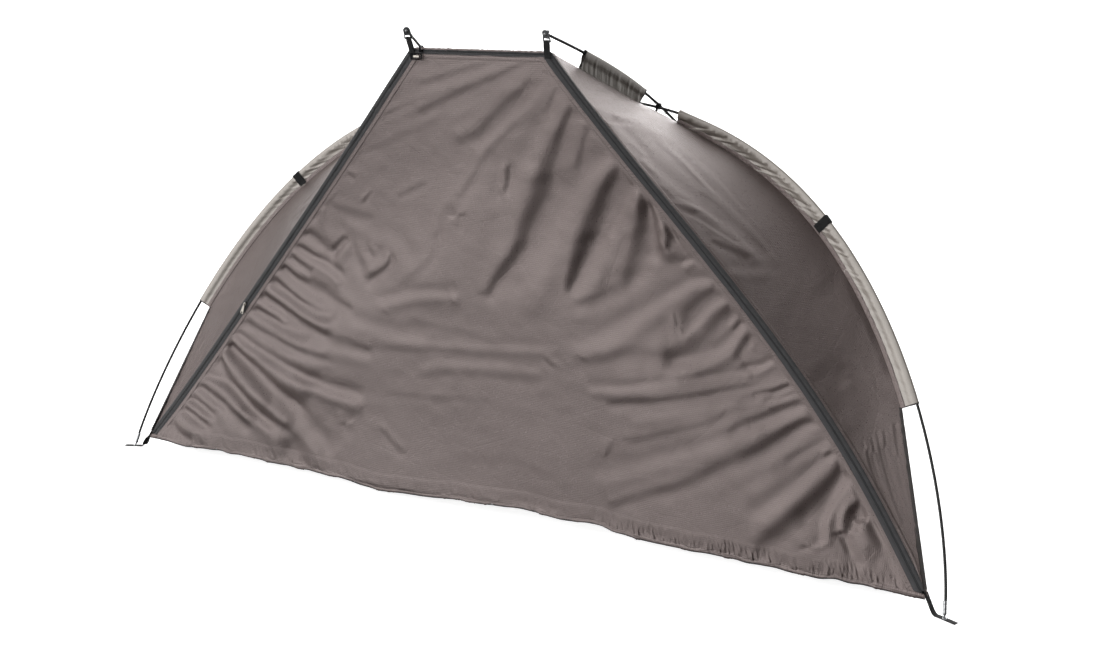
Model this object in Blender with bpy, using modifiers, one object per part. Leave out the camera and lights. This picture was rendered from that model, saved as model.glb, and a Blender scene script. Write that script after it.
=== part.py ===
"""A three-pole beach shelter with its front panel zipped shut, one object for each sewn or rigid piece.

Metres, +Z up. X runs across the shelter, -Y is the front, and the origin is on the ground under the middle.
"""

import math

import bmesh
import bpy
from mathutils import Matrix, Vector
from mathutils.geometry import intersect_line_line

# Ground plan of the fabric
HEM_HALF = 1.155
HEM_Y = -0.600
HEM_LIFT = 0.035
REAR_HALF = 0.542
REAR_Y = 0.520

# Front panel
TOP_HALF = 0.193
TOP_LEAN = 0.025
TOP_Z = 1.201
DOOR_THICK = 0.0030
HINGE_GAP = 0.0006
HEM_ROD_R = 0.0040
TAPE_FOOT_GAP = 0.0020

# The side panels pull the zips back and out of their straight lines, most of all a little below half height
BOW = 0.0756
BOW_AT = 0.38
BULGE = 0.029
BULGE_POWER = 1.4

# Hoop pole, one long rod bent over the middle of the shelter
POLE_R = 0.0034
HOOP_HALF = 1.198
HOOP_FOOT_Y = -0.618
HOOP_TOP_Y = -0.198
HOOP_RISE = 1.068
HOOP_WIDTH_POWER = 0.745
HOOP_RISE_POWER = 1.389
HOOP_BOW = 0.081
T_SLEEVE = 0.54
T_TAB = 0.955
T_MOUTH = 1.355
T_CROSS = 1.404
TAB_HALF_ANGLE = 0.011
WEB_EASE_ANGLE = 0.2

# Rear poles, from a corner plate over the hoop to the ground behind
TIP = Vector((0.192, -0.595, 1.245))
REAR_FOOT = Vector((0.557, 0.570, 0.0))
REAR_SLOPE = 0.35
REAR_POWER = 2.69
S_RIDGE_SLEEVE = (0.0988, 0.2807)
S_REAR_SLEEVE = (0.44, 0.86)
S_SEAM_END = 0.88
S_WEB_EASE = 0.12
ROD_START = 0.012

# Fabric and trim
CLOTH = 0.0030
GAP = 0.0003
WEB = 0.038
WEB_AT_CROSSING = 0.014
SLEEVE_R = 0.0054
SLEEVE_WALL = 0.0014
SLEEVE_FOOT = 0.0024
BASE_LIFT = 1.3
TAPE_W = 0.012
CANOPY_TAPE_W = 0.0046
TAPE_THICK = 0.0020
ZIP_GAP = 0.0052
SLIDER_THICK = 0.003
SLIDER_V = 0.40
SLIDER_X = 0.030
STRAP_W = 0.022
STRAP_THICK = 0.0016
STRAP_DROP = 0.004
STRAP_CLEAR = 0.006
STRAP_BEND = 0.020
STRAP_END = 0.030
EYELET_R = 0.0030
CORNER_WEBBING = (0.009, 0.001)
PLATE_W = 0.018
PLATE_LENGTH = 0.030
PLATE_THICK = 0.0030
PLATE_TAPER = 0.92
PLATE_HOLE_R = 0.0031
SLOT_HALF = 0.0062
SLOT_FROM, SLOT_TO = 0.0030, 0.0065
TIE_W = 0.006
TIE_THICK = 0.0010
TIE_TAIL = 0.0115
RIM = 0.045
FRONT_RIM = 0.110
TAB_THICK = 0.0012
TAB_LIFT = 0.004
TAB_EASE = 0.0010
RIM_DROP = 0.0006
RIM_INSET = 0.0006
FLOOR_THICK = 0.0030

# Pole ends
FERRULE_R = 0.0046
FERRULE_LENGTH = 0.030
PIN_R = 0.0022
PIN_LENGTH = 0.010
TOP_PIN_HEAD = 0.0045
TOP_PIN_REACH = 0.0115
COLLAR_R = 0.0041

# Where neighbouring panels stop short of a corner that they share, as shares of an edge
LOW_SHARE = 0.03
LOW_SHARE_BEHIND = 0.01
CROSSING_SHARE = 0.25

TAUPE = ("taupe_polyester", (0.245, 0.205, 0.190), 0.55, 0.0)
GREY_SLEEVE = ("grey_polyester", (0.350, 0.325, 0.290), 0.60, 0.0)
GROUND_CLOTH = ("groundsheet_polyethylene", (0.110, 0.105, 0.100), 0.50, 0.0)
ZIP_TAPE = ("zip_tape", (0.060, 0.063, 0.068), 0.70, 0.0)
WEBBING = ("black_webbing", (0.012, 0.012, 0.013), 0.75, 0.0)
FIBREGLASS = ("black_fibreglass", (0.014, 0.014, 0.015), 0.35, 0.0)
STEEL = ("steel_ends", (0.560, 0.560, 0.570), 0.30, 1.0)
PLASTIC = ("grey_moulded_plastic", (0.050, 0.052, 0.055), 0.45, 0.0)

SIDES = (("left", -1), ("right", 1))
CENTRE = Vector((0.0, -0.10, 0.30))


def clear_scene():
    for obj in list(bpy.data.objects):
        bpy.data.objects.remove(obj, do_unlink=True)


def collection_named(name):
    found = bpy.data.collections.new(name)
    bpy.context.scene.collection.children.link(found)
    return found


def material_of(finish):
    name, colour, roughness, metallic = finish
    material = bpy.data.materials.get(name)
    if material:
        return material
    material = bpy.data.materials.new(name)
    material.use_nodes = True
    shader = material.node_tree.nodes["Principled BSDF"]
    shader.inputs["Base Color"].default_value = (*colour, 1.0)
    shader.inputs["Roughness"].default_value = roughness
    shader.inputs["Metallic"].default_value = metallic
    return material


def add_object(name, data, finish, matrix=None):
    obj = bpy.data.objects.new(name, data)
    data.materials.append(material_of(finish))
    if matrix:
        obj.matrix_world = matrix
    PARTS.objects.link(obj)
    return obj


def mirrored(point, side):
    return Vector((point.x * side, point.y, point.z))


def towards(start, end, distance):
    return start + (end - start).normalized() * distance


# Curves that every piece is measured from


def hoop(t):
    """The hoop's centre line on the right half: t is 0 at the foot and a right angle at the top."""
    x = HOOP_HALF * max(math.cos(t), 0.0) ** HOOP_WIDTH_POWER
    height = math.sin(t) ** HOOP_RISE_POWER
    y = HOOP_FOOT_Y + (HOOP_TOP_Y - HOOP_FOOT_Y) * height + HOOP_BOW * height * (1 - height)
    return Vector((x, y, HOOP_RISE * height))


def hoop_seam(t):
    """Where the sleeve's web is sewn to the canopy, inside the hoop."""
    near_crossing = min(max((T_CROSS - t) / WEB_EASE_ANGLE, 0.0), 1.0)
    web = WEB_AT_CROSSING + (WEB - WEB_AT_CROSSING) * near_crossing * (2 - near_crossing)
    point = hoop(t)
    radius = math.hypot(point.x, point.z)
    shrink = 1 - web / radius
    return Vector((point.x * shrink, point.y, point.z * shrink))


def rear_pole(s):
    """The right rear pole's centre line: s is 0 at the top tip and 1 at the foot."""
    point = TIP.lerp(REAR_FOOT, s)
    point.z = TIP.z * (1 - REAR_SLOPE * s - (1 - REAR_SLOPE) * s**REAR_POWER)
    return point


S_CROSS = (hoop(T_CROSS).x - TIP.x) / (REAR_FOOT.x - TIP.x)


def rear_seam(s):
    """The canopy's seam under the rear pole, a web's width towards the inside."""
    along = (rear_pole(s + 0.001) - rear_pole(s - 0.001)).normalized()
    across = Vector((REAR_FOOT.y - TIP.y, TIP.x - REAR_FOOT.x, 0)).normalized()
    inward = along.cross(across).normalized()
    if inward.z > 0:
        inward.negate()
    spread = min(max((s - S_CROSS) / S_WEB_EASE, 0.0), 1.0)
    return rear_pole(s) + inward * (WEB_AT_CROSSING + (WEB - WEB_AT_CROSSING) * spread)


def spaced(start, end, count):
    return [start + (end - start) * i / count for i in range(count + 1)]


def even_parameters(curve, start, end, count):
    """Parameters from start to end that cut the curve into equal lengths."""
    fine = spaced(start, end, 400)
    lengths = [0.0]
    for before, after in zip(fine, fine[1:]):
        lengths.append(lengths[-1] + (curve(after) - curve(before)).length)
    chosen = []
    k = 0
    for i in range(count + 1):
        wanted = lengths[-1] * i / count
        while k < 399 and lengths[k + 1] < wanted:
            k += 1
        part = (wanted - lengths[k]) / (lengths[k + 1] - lengths[k])
        chosen.append(fine[k] + (fine[k + 1] - fine[k]) * part)
    return chosen


T_FOOT = even_parameters(hoop, 0.0, T_SLEEVE, 6)
T_SLEEVED = even_parameters(hoop, T_SLEEVE, T_MOUTH, 15)
T_TOP = even_parameters(hoop, T_CROSS, math.pi / 2, 4)
T_HALF = T_FOOT[:-1] + T_SLEEVED + T_TOP

S_FRONT = spaced(0.0, S_RIDGE_SLEEVE[0], 2)
S_RIDGE = spaced(*S_RIDGE_SLEEVE, 3)
S_MIDDLE = spaced(S_CROSS, S_REAR_SLEEVE[0], 2)
S_SLEEVED = spaced(*S_REAR_SLEEVE, 8)
S_LOW = spaced(S_REAR_SLEEVE[1], 1.0, 3)
S_ALL = S_FRONT[:-1] + S_RIDGE + S_MIDDLE[:-1] + S_SLEEVED[:-1] + S_LOW

FRONT_CORNER = Vector((HEM_HALF, HEM_Y, HEM_LIFT))
TOP_CORNER = Vector((TOP_HALF, HEM_Y + TOP_LEAN, TOP_Z))
REAR_CORNER = Vector((REAR_HALF, REAR_Y, HEM_LIFT))
PANEL_HEIGHT = math.hypot(TOP_LEAN, TOP_Z - HEM_LIFT)
UP_PANEL = Vector((0, TOP_LEAN, TOP_Z - HEM_LIFT)) / PANEL_HEIGHT
SPLAY = (HEM_HALF - TOP_HALF) / PANEL_HEIGHT
TIP_LEAN = (TIP - TOP_CORNER).normalized()


def bowed(v):
    """How much of its bow the front has at height v: 0 at the hem and the top, 1 at the deepest."""
    share = min(max(v / PANEL_HEIGHT, 0.0), 1.0)
    return share / BOW_AT * ((1 - share) / (1 - BOW_AT)) ** ((1 - BOW_AT) / BOW_AT)


def up_front(v):
    """The direction straight up the front's curve at height v."""
    step = 0.001
    slope = BOW * (bowed(v + step) - bowed(v - step)) / (2 * step)
    return (UP_PANEL + Vector((0, slope, 0))).normalized()


def out_of_front(v):
    upward = up_front(v)
    return Vector((0, -upward.z, upward.y))


def on_front(x, v, out=0.0):
    """A point of the front's curved surface, v up from the hem and out towards the front."""
    return Vector((x, HEM_Y + BOW * bowed(v), HEM_LIFT)) + UP_PANEL * v + out_of_front(v) * out


def slant_x(v, inset):
    """Half the front's width at height v, inset square to its slanted edge."""
    return HEM_HALF - SPLAY * v + BULGE * bowed(v) ** BULGE_POWER - inset * math.hypot(1, SPLAY)


# Ways of making a piece


def grid_mesh(name, rows, wrap, centre):
    """A sheet through rows of points, its faces turned away from centre, or from each row's middle."""
    bm = bmesh.new()
    verts = [[bm.verts.new(point) for point in row] for row in rows]
    columns = len(rows[0])
    last = columns if wrap else columns - 1
    for below, above in zip(verts, verts[1:]):
        for j in range(last):
            k = (j + 1) % columns
            bm.faces.new((below[j], below[k], above[k], above[j]))
    bm.normal_update()
    facing = 0.0
    for i, face in enumerate(bm.faces):
        middle = centre
        if middle is None:
            row = rows[i // last]
            middle = sum(row, Vector()) / columns
        facing += (face.calc_center_median() - middle).dot(face.normal) * face.calc_area()
    if facing < 0:
        bmesh.ops.reverse_faces(bm, faces=bm.faces)
    mesh = bpy.data.meshes.new(name)
    bm.to_mesh(mesh)
    bm.free()
    mesh.shade_smooth()
    mesh.set_sharp_from_angle(angle=math.radians(40))
    return mesh


def thicken(obj, thickness, offset):
    solidify = obj.modifiers.new("Thickness", "SOLIDIFY")
    solidify.thickness = thickness
    solidify.offset = offset
    solidify.use_even_offset = True
    return obj


def inset_border(rows, gap):
    """Draws the sheet's four edges in by gap, so that neighbours don't touch."""
    for row in rows:
        row[0] = towards(row[0], row[1], gap)
        row[-1] = towards(row[-1], row[-2], gap)
    first = [towards(a, b, gap) for a, b in zip(rows[0], rows[1])]
    final = [towards(a, b, gap) for a, b in zip(rows[-1], rows[-2])]
    rows[0] = first
    rows[-1] = final


def panel(name, rows, finish=TAUPE, thickness=CLOTH):
    """A cut panel of the canopy: the rows lie on its inner face."""
    inset_border(rows, GAP)
    obj = add_object(name, grid_mesh(name, rows, False, CENTRE), finish)
    return thicken(obj, thickness, 1)


def front_piece(name, low, high, edges, thickness, finish):
    """A piece of the front's curved surface between two heights; edges gives its two x at a height."""
    heights = [low] + [v for v in zip_heights() if low + GAP < v < high - GAP] + [high]
    rows = [[on_front(x, v) for x in edges(v)] for v in heights]
    obj = add_object(name, grid_mesh(name, rows, False, CENTRE), finish)
    return thicken(obj, thickness, 1)


def ribbon(name, path, across, width, thickness, finish):
    """A flat strap whose middle follows the path."""
    rows = [[point - across * width / 2, point + across * width / 2] for point in path]
    obj = add_object(name, grid_mesh(name, rows, False, CENTRE), finish)
    return thicken(obj, thickness, 0)


def rod(name, points, radius, finish):
    curve = bpy.data.curves.new(name, "CURVE")
    curve.dimensions = "3D"
    curve.bevel_depth = radius
    curve.bevel_resolution = 2
    curve.use_fill_caps = True
    spline = curve.splines.new("POLY")
    spline.points.add(len(points) - 1)
    for spot, point in zip(spline.points, points):
        spot.co = (*point, 1)
    return add_object(name, curve, finish)


def frame_matrix(origin, x_axis, y_axis, z_axis):
    matrix = Matrix((x_axis, y_axis, z_axis)).transposed().to_4x4()
    matrix.translation = origin
    return matrix


def turned(name, profile, origin, direction, finish):
    """A round piece from (radius, height) points, outer side running down."""
    mesh = bpy.data.meshes.new(name)
    edges = [(i, i + 1) for i in range(len(profile) - 1)]
    mesh.from_pydata([(r, 0, z) for r, z in profile], edges, [])
    matrix = direction.to_track_quat("Z", "Y").to_matrix().to_4x4()
    matrix.translation = origin
    obj = add_object(name, mesh, finish, matrix)
    screw = obj.modifiers.new("Turn", "SCREW")
    screw.steps = 12
    screw.render_steps = 12
    screw.use_merge_vertices = True
    screw.merge_threshold = 0.00001
    return obj


def flat_outline(name, loops, thickness, matrix, finish):
    """A flat piece from closed outlines in its own plane; the second and later ones are holes."""
    curve = bpy.data.curves.new(name, "CURVE")
    curve.dimensions = "2D"
    curve.fill_mode = "BOTH"
    curve.extrude = thickness / 2
    for loop in loops:
        spline = curve.splines.new("POLY")
        spline.points.add(len(loop) - 1)
        spline.use_cyclic_u = True
        for spot, (x, y) in zip(spline.points, loop):
            spot.co = (x, y, 0, 1)
    return add_object(name, curve, finish, matrix)


def arc(centre, radius, start, end, count):
    """Points of an arc between two angles in degrees; radius is one number, or one for each direction."""
    rx, ry = radius
    angles = [math.radians(angle) for angle in spaced(start, end, count)]
    return [(centre[0] + rx * math.cos(a), centre[1] + ry * math.sin(a)) for a in angles]


def rounded_box(half_width, half_height, radius):
    """A round-cornered oblong, from the right of its lower edge anticlockwise to the left of it."""
    x = half_width - radius
    y = half_height - radius
    loop = []
    for centre, start in (((x, -y), -90), ((x, y), 0), ((-x, y), 90), ((-x, -y), 180)):
        loop += arc(centre, (radius, radius), start, start + 90, 3)
    return loop


def cut_round_hole(obj, centre, direction, radius, depth):
    bpy.ops.mesh.primitive_cylinder_add(vertices=16, radius=radius, depth=depth)
    cutter = bpy.context.object
    cutter.name = obj.name + "_hole"
    matrix = direction.to_track_quat("Z", "Y").to_matrix().to_4x4()
    matrix.translation = centre
    cutter.matrix_world = matrix
    for owner in list(cutter.users_collection):
        owner.objects.unlink(cutter)
    CUTTERS.objects.link(cutter)
    cutter.hide_render = True
    cutter.display_type = "WIRE"
    boolean = obj.modifiers.new("Hole", "BOOLEAN")
    boolean.operation = "DIFFERENCE"
    boolean.object = cutter


# Canopy


def side_edge_points():
    """The canopy's outer seam on the right, from the front corner straight up to the sleeve and along it."""
    low_end = hoop_seam(T_SLEEVE)
    straight = [FRONT_CORNER.lerp(low_end, f) for f in spaced(LOW_SHARE, 1.0, 5)]
    top = even_parameters(hoop, T_SLEEVE, T_CROSS, 16)
    return straight + [hoop_seam(t) for t in top[1:]]


def rear_edge_points(count):
    """The seam under the right rear pole, from the ground up to the crossing."""
    curve = [hoop_seam(T_CROSS)] + [rear_seam(s) for s in spaced(S_CROSS, S_SEAM_END, 30)[3:]] + [REAR_CORNER]
    return resampled(list(reversed(curve)), spaced(0.0, 1.0, count))


def fractions(points):
    lengths = [0.0]
    for before, after in zip(points, points[1:]):
        lengths.append(lengths[-1] + (after - before).length)
    return [length / lengths[-1] for length in lengths]


def resampled(points, wanted):
    """Points at the wanted fractions of the polyline's length."""
    marks = fractions(points)
    found = []
    for fraction in wanted:
        k = 0
        while k < len(marks) - 2 and marks[k + 1] < fraction:
            k += 1
        part = (fraction - marks[k]) / (marks[k + 1] - marks[k])
        found.append(points[k].lerp(points[k + 1], min(max(part, 0.0), 1.0)))
    return found


def ruled(first_edge, second_edge, columns):
    return [[a.lerp(b, f) for f in spaced(0.0, 1.0, columns)] for a, b in zip(first_edge, second_edge)]


def zip_heights():
    """Heights up the front at which the side panels' rows meet its edge."""
    start = LOW_SHARE * PANEL_HEIGHT
    return [start + (PANEL_HEIGHT - start) * f for f in fractions(side_edge_points())]


def side_panel(word, side):
    outer = side_edge_points()
    zipped = [on_front(slant_x(v, 0), v) for v in zip_heights()]
    rows = ruled([mirrored(p, side) for p in zipped], [mirrored(p, side) for p in outer], 3)
    panel("side_panel_" + word, rows)


def rear_side_panel(word, side):
    outer = side_edge_points()
    outer[0] = FRONT_CORNER.lerp(hoop_seam(T_SLEEVE), LOW_SHARE_BEHIND)
    marks = fractions(outer)
    outer[-1] = outer[-1].lerp(outer[-2], CROSSING_SHARE)
    inner = resampled(rear_edge_points(24), marks)
    inner[-1] = inner[-1].lerp(inner[-2], CROSSING_SHARE)
    rows = ruled([mirrored(p, side) for p in outer], [mirrored(p, side) for p in inner], 4)
    panel("rear_side_panel_" + word, rows)


def top_seam():
    """The canopy's seam over the top, between the two crossings."""
    half = [hoop_seam(t) for t in even_parameters(hoop, T_CROSS, math.pi / 2, 4)]
    return [mirrored(p, -1) for p in half[:-1]] + list(reversed(half))


def roof_panel():
    back = top_seam()
    marks = fractions(back)
    left_top = mirrored(TOP_CORNER, -1)
    front = [left_top.lerp(TOP_CORNER, f) for f in marks]
    panel("roof_panel", ruled(front, back, 3))


def rear_panel():
    right = list(reversed(rear_edge_points(24)))
    back = top_seam()
    marks = fractions(back)
    crown = [point - back[0].lerp(back[-1], f) for f, point in zip(marks, back)]
    rows = []
    for i, edge in enumerate(right):
        rise = (1 - i / (len(right) - 1)) ** 2
        left = mirrored(edge, -1)
        rows.append([left.lerp(edge, f) + c * rise for f, c in zip(marks, crown)])
    panel("rear_panel", rows)


def floor_outline(inset, front_inset, z):
    """The groundsheet's corners, drawn in square to each edge, and by front_inset at the front."""
    step = front_inset - inset
    half = HEM_HALF - (HEM_HALF - REAR_HALF) * step / (REAR_Y - HEM_Y)
    corners = [
        Vector((-half, HEM_Y + step, z)),
        Vector((half, HEM_Y + step, z)),
        Vector((REAR_HALF, REAR_Y, z)),
        Vector((-REAR_HALF, REAR_Y, z)),
    ]
    moved = []
    for i, corner in enumerate(corners):
        before = (corner - corners[i - 1]).normalized()
        after = (corners[(i + 1) % 4] - corner).normalized()
        normal_before = Vector((-before.y, before.x, 0))
        normal_after = Vector((-after.y, after.x, 0))
        bisector = (normal_before + normal_after).normalized()
        moved.append(corner + bisector * inset / bisector.dot(normal_after))
    return moved


def groundsheet():
    rim = floor_outline(RIM_INSET, HEM_ROD_R + RIM_INSET / 2, HEM_LIFT - RIM_DROP)
    flat = floor_outline(RIM, FRONT_RIM, 0.0)
    bm = bmesh.new()
    upper = [bm.verts.new(p) for p in rim]
    lower = [bm.verts.new(p) for p in flat]
    for i in range(4):
        k = (i + 1) % 4
        bm.faces.new((upper[i], upper[k], lower[k], lower[i]))
    bm.faces.new(lower)
    bm.normal_update()
    for face in bm.faces:
        if face.normal.z > 0:
            face.normal_flip()
    mesh = bpy.data.meshes.new("groundsheet")
    bm.to_mesh(mesh)
    bm.free()
    thicken(add_object("groundsheet", mesh, GROUND_CLOTH), FLOOR_THICK, -1)


# Front panel, its hem and its zips


def front_panel():
    """The panel and its half of the zip, all parented to the hinge along the hem."""
    hinge = bpy.data.objects.new("front_panel_hinge", None)
    hinge.location = (0, HEM_Y, HEM_LIFT)
    PARTS.objects.link(hinge)
    outer = CANOPY_TAPE_W + ZIP_GAP
    inner = outer + TAPE_W
    low = HEM_ROD_R + HINGE_GAP
    high = PANEL_HEIGHT - inner - GAP

    def panel_edges(v):
        return -slant_x(v, inner + GAP), slant_x(v, inner + GAP)

    def top_edges(v):
        return -slant_x(v, outer), slant_x(v, outer)

    pieces = [front_piece("front_panel", low, high, panel_edges, DOOR_THICK, TAUPE)]
    for word, side in SIDES:

        def tape_edges(v):
            return side * slant_x(v, inner), side * slant_x(v, outer)

        pieces.append(front_piece("front_panel_zip_tape_" + word, low, high, tape_edges, TAPE_THICK, ZIP_TAPE))
    top_name = "front_panel_zip_tape_top"
    pieces.append(front_piece(top_name, high + GAP, PANEL_HEIGHT - outer, top_edges, TAPE_THICK, ZIP_TAPE))
    bpy.context.view_layer.update()
    for piece in pieces:
        piece.parent = hinge
        piece.matrix_parent_inverse = hinge.matrix_world.inverted()


def front_hem():
    end = slant_x(0, CANOPY_TAPE_W + ZIP_GAP)
    points = [Vector((x, HEM_Y, HEM_LIFT)) for x in (-end, end)]
    rod("front_hem", points, HEM_ROD_R, ZIP_TAPE)


def canopy_zip_tapes():
    low = HEM_ROD_R + TAPE_FOOT_GAP
    base = PANEL_HEIGHT - CANOPY_TAPE_W
    for word, side in SIDES:

        def tape_edges(v):
            return side * slant_x(v, CANOPY_TAPE_W), side * slant_x(v, GAP)

        front_piece("canopy_zip_tape_" + word, low, base - GAP, tape_edges, TAPE_THICK, ZIP_TAPE)

    def top_edges(v):
        return -slant_x(v, GAP), slant_x(v, GAP)

    front_piece("canopy_zip_tape_top", base, PANEL_HEIGHT - GAP, top_edges, TAPE_THICK, ZIP_TAPE)


def zip_slider(name, x, v, angle):
    """A slider with its pull, lying on the canopy's side of the zip."""
    body_half, body_top, waist_half, waist, pull_half, pull_end = 0.0042, 0.0040, 0.0030, -0.006, 0.0022, -0.018
    outline = arc((0, body_top), (body_half, body_top), 0, 180, 6)
    outline += [(-waist_half, waist), (-pull_half, pull_end), (pull_half, pull_end), (waist_half, waist)]
    turn = Matrix.Rotation(angle, 3, out_of_front(v))
    across = turn @ Vector((1, 0, 0))
    upward = turn @ up_front(v)
    place = on_front(x, v, TAPE_THICK + GAP + SLIDER_THICK / 2)
    matrix = frame_matrix(place, across, upward, across.cross(upward))
    flat_outline(name, [outline], SLIDER_THICK, matrix, STEEL)


# Poles and their ends


def foot_direction_hoop():
    return (hoop(T_FOOT[1]) - hoop(0.0)).normalized()


def foot_direction_rear():
    return (rear_pole(S_ALL[-2]) - REAR_FOOT).normalized()


def ferrule_end(foot, direction):
    return foot + direction * (FERRULE_LENGTH + PIN_LENGTH + GAP)


def hoop_pole():
    above_ferrule = [t for t in T_HALF if hoop(t).z > FERRULE_LENGTH + PIN_LENGTH]
    half = [ferrule_end(hoop(0.0), foot_direction_hoop())] + [hoop(t) for t in above_ferrule]
    points = half + [mirrored(p, -1) for p in reversed(half[:-1])]
    rod("hoop_pole", points, POLE_R, FIBREGLASS)


def rear_poles():
    start = towards(rear_pole(0.0), rear_pole(0.02), ROD_START)
    end = ferrule_end(REAR_FOOT, foot_direction_rear())
    for word, side in SIDES:
        middle = [rear_pole(s) for s in S_ALL[1:-1]]
        points = [mirrored(p, side) for p in [start] + middle + [end]]
        rod("rear_pole_" + word, points, POLE_R, FIBREGLASS)


def pole_foot(name, foot, direction):
    """A ferrule with the pin that stands in the strap's eyelet, its end cut level at the ground."""
    reach = PIN_LENGTH + FERRULE_LENGTH
    rounding = PIN_R * math.hypot(direction.x, direction.y) / direction.z
    profile = [(0, reach), (FERRULE_R, reach), (FERRULE_R, PIN_LENGTH), (PIN_R, PIN_LENGTH)]
    profile += [(PIN_R, rounding), (0, 0)]
    turned(name, profile, foot, direction, STEEL)


def pole_feet():
    for word, side in SIDES:
        pole_foot("hoop_foot_" + word, mirrored(hoop(0.0), side), mirrored(foot_direction_hoop(), side))
        pole_foot("rear_foot_" + word, mirrored(REAR_FOOT, side), mirrored(foot_direction_rear(), side))


def plate_matrix(side):
    """The corner plate's own axes: across, up the plate and out to the front."""
    origin = mirrored(TIP, side)
    out = Vector((1, 0, 0)).cross(TIP_LEAN).normalized()
    upward = out.cross(Vector((1, 0, 0)))
    return frame_matrix(origin, Vector((1, 0, 0)), upward, out)


def corner_plates():
    """Moulded tongues that hold the rear poles' top pins, with a slot for the corner webbing."""
    half = PLATE_W / 2
    low = half - PLATE_LENGTH
    outline = arc((0, 0), (half, half), 0, 180, 10) + [(-half * PLATE_TAPER, low), (half * PLATE_TAPER, low)]
    hole = arc((0, 0), (PLATE_HOLE_R, PLATE_HOLE_R), 0, 330, 11)
    slot = [(-SLOT_HALF, low + SLOT_FROM), (SLOT_HALF, low + SLOT_FROM)]
    slot += [(SLOT_HALF, low + SLOT_TO), (-SLOT_HALF, low + SLOT_TO)]
    for word, side in SIDES:
        flat_outline("corner_plate_" + word, [outline, hole, slot], PLATE_THICK, plate_matrix(side), PLASTIC)


def pole_top_pins():
    """Pins that leave the poles' top ends and pass through the corner plates."""
    head = TOP_PIN_HEAD
    profile = [(0, head), (PIN_R * 0.7, head), (PIN_R, head - 0.001), (PIN_R, -head)]
    profile += [(COLLAR_R, -head), (COLLAR_R, -TOP_PIN_REACH), (0, -TOP_PIN_REACH)]
    for word, side in SIDES:
        matrix = plate_matrix(side)
        out = matrix.to_3x3().col[2]
        turned("rear_pole_pin_" + word, profile, matrix.translation, out, STEEL)


# Sleeves, tabs, webbing and ties


def sleeve(name, pole_points, seam_points, side):
    """A web sewn to the seam at one edge and folded round the pole at the other."""
    rows = []
    for i, (pole_point, seam_point) in enumerate(zip(pole_points, seam_points)):
        before = pole_points[max(i - 1, 0)]
        after = pole_points[min(i + 1, len(pole_points) - 1)]
        along = (after - before).normalized()
        outward = pole_point - seam_point
        outward = (outward - along * outward.dot(along)).normalized()
        across = along.cross(outward)
        base = seam_point + outward * CLOTH * BASE_LIFT
        row = [base + across * SLEEVE_FOOT]
        for a in spaced(80, -80, 4):
            turn = math.radians(a)
            ring = outward * math.cos(turn) + across * math.sin(turn)
            row.append(pole_point + ring * SLEEVE_R / math.cos(math.radians(20)))
        row.append(base - across * SLEEVE_FOOT)
        rows.append([mirrored(p, side) for p in row])
    obj = add_object(name, grid_mesh(name, rows, True, None), GREY_SLEEVE)
    thicken(obj, SLEEVE_WALL, -1)


def ridge_point(y):
    """The canopy's ridge between the top corner and the crossing."""
    end = hoop_seam(T_CROSS)
    return TOP_CORNER.lerp(end, (y - TOP_CORNER.y) / (end.y - TOP_CORNER.y))


def sleeves():
    hoop_points = [hoop(t) for t in T_SLEEVED]
    hoop_seams = [hoop_seam(t) for t in T_SLEEVED]
    ridge_poles = [rear_pole(s) for s in S_RIDGE]
    ridge_seams = [ridge_point(p.y) for p in ridge_poles]
    rear_poles_at = [rear_pole(s) for s in S_SLEEVED]
    rear_seams = [rear_seam(s) for s in S_SLEEVED]
    for word, side in SIDES:
        sleeve("hoop_sleeve_" + word, hoop_points, hoop_seams, side)
        sleeve("ridge_sleeve_" + word, ridge_poles, ridge_seams, side)
        sleeve("rear_sleeve_" + word, rear_poles_at, rear_seams, side)


def chord_point(t):
    """The pole's centre line as its straight segments have it."""
    k = 0
    while T_HALF[k + 1] < t:
        k += 1
    part = (t - T_HALF[k]) / (T_HALF[k + 1] - T_HALF[k])
    return hoop(T_HALF[k]).lerp(hoop(T_HALF[k + 1]), part)


def sleeve_tabs():
    """A black band that wraps the hoop sleeve half way up."""
    clear = SLEEVE_R + 2 * GAP
    for word, side in SIDES:
        rows = []
        for t in (T_TAB - TAB_HALF_ANGLE, T_TAB + TAB_HALF_ANGLE):
            pole_point = chord_point(t)
            outward = (pole_point - hoop_seam(t)).normalized()
            along = (hoop(T_TAB + 0.01) - hoop(T_TAB - 0.01)).normalized()
            outward = (outward - along * outward.dot(along)).normalized()
            across = along.cross(outward)
            base = pole_point - outward * (WEB - CLOTH * BASE_LIFT - TAB_LIFT)
            row = [base + across * (SLEEVE_FOOT + TAB_EASE)]
            for a in spaced(80, -80, 4):
                turn = math.radians(a)
                ring = outward * math.cos(turn) + across * math.sin(turn)
                row.append(pole_point + ring * clear / math.cos(math.radians(20)))
            row.append(base - across * (SLEEVE_FOOT + TAB_EASE))
            rows.append([mirrored(p, side) for p in row])
        obj = add_object("sleeve_tab_" + word, grid_mesh("sleeve_tab", rows, False, None), WEBBING)
        thicken(obj, TAB_THICK, 1)


def ground_strap(name, corner, foot, direction, side):
    """Webbing from a fabric corner down to the ground and out under the pole's foot, with its eyelet's hole."""
    outward = Vector((foot.x - corner.x, foot.y - corner.y, 0)).normalized()
    level = STRAP_THICK / 2
    start = Vector((corner.x, corner.y, HEM_LIFT - STRAP_DROP)) + outward * STRAP_CLEAR
    bend = Vector((corner.x, corner.y, level)) + outward * STRAP_BEND
    end = Vector((foot.x, foot.y, level)) + outward * STRAP_END
    path = [mirrored(p, side) for p in (start, bend, end)]
    across = mirrored(Vector((-outward.y, outward.x, 0)), side)
    strap = ribbon(name, path, across, STRAP_W, STRAP_THICK, WEBBING)
    cut_round_hole(strap, mirrored(foot, side), mirrored(direction, side), EYELET_R, 2 * PIN_LENGTH)


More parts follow.
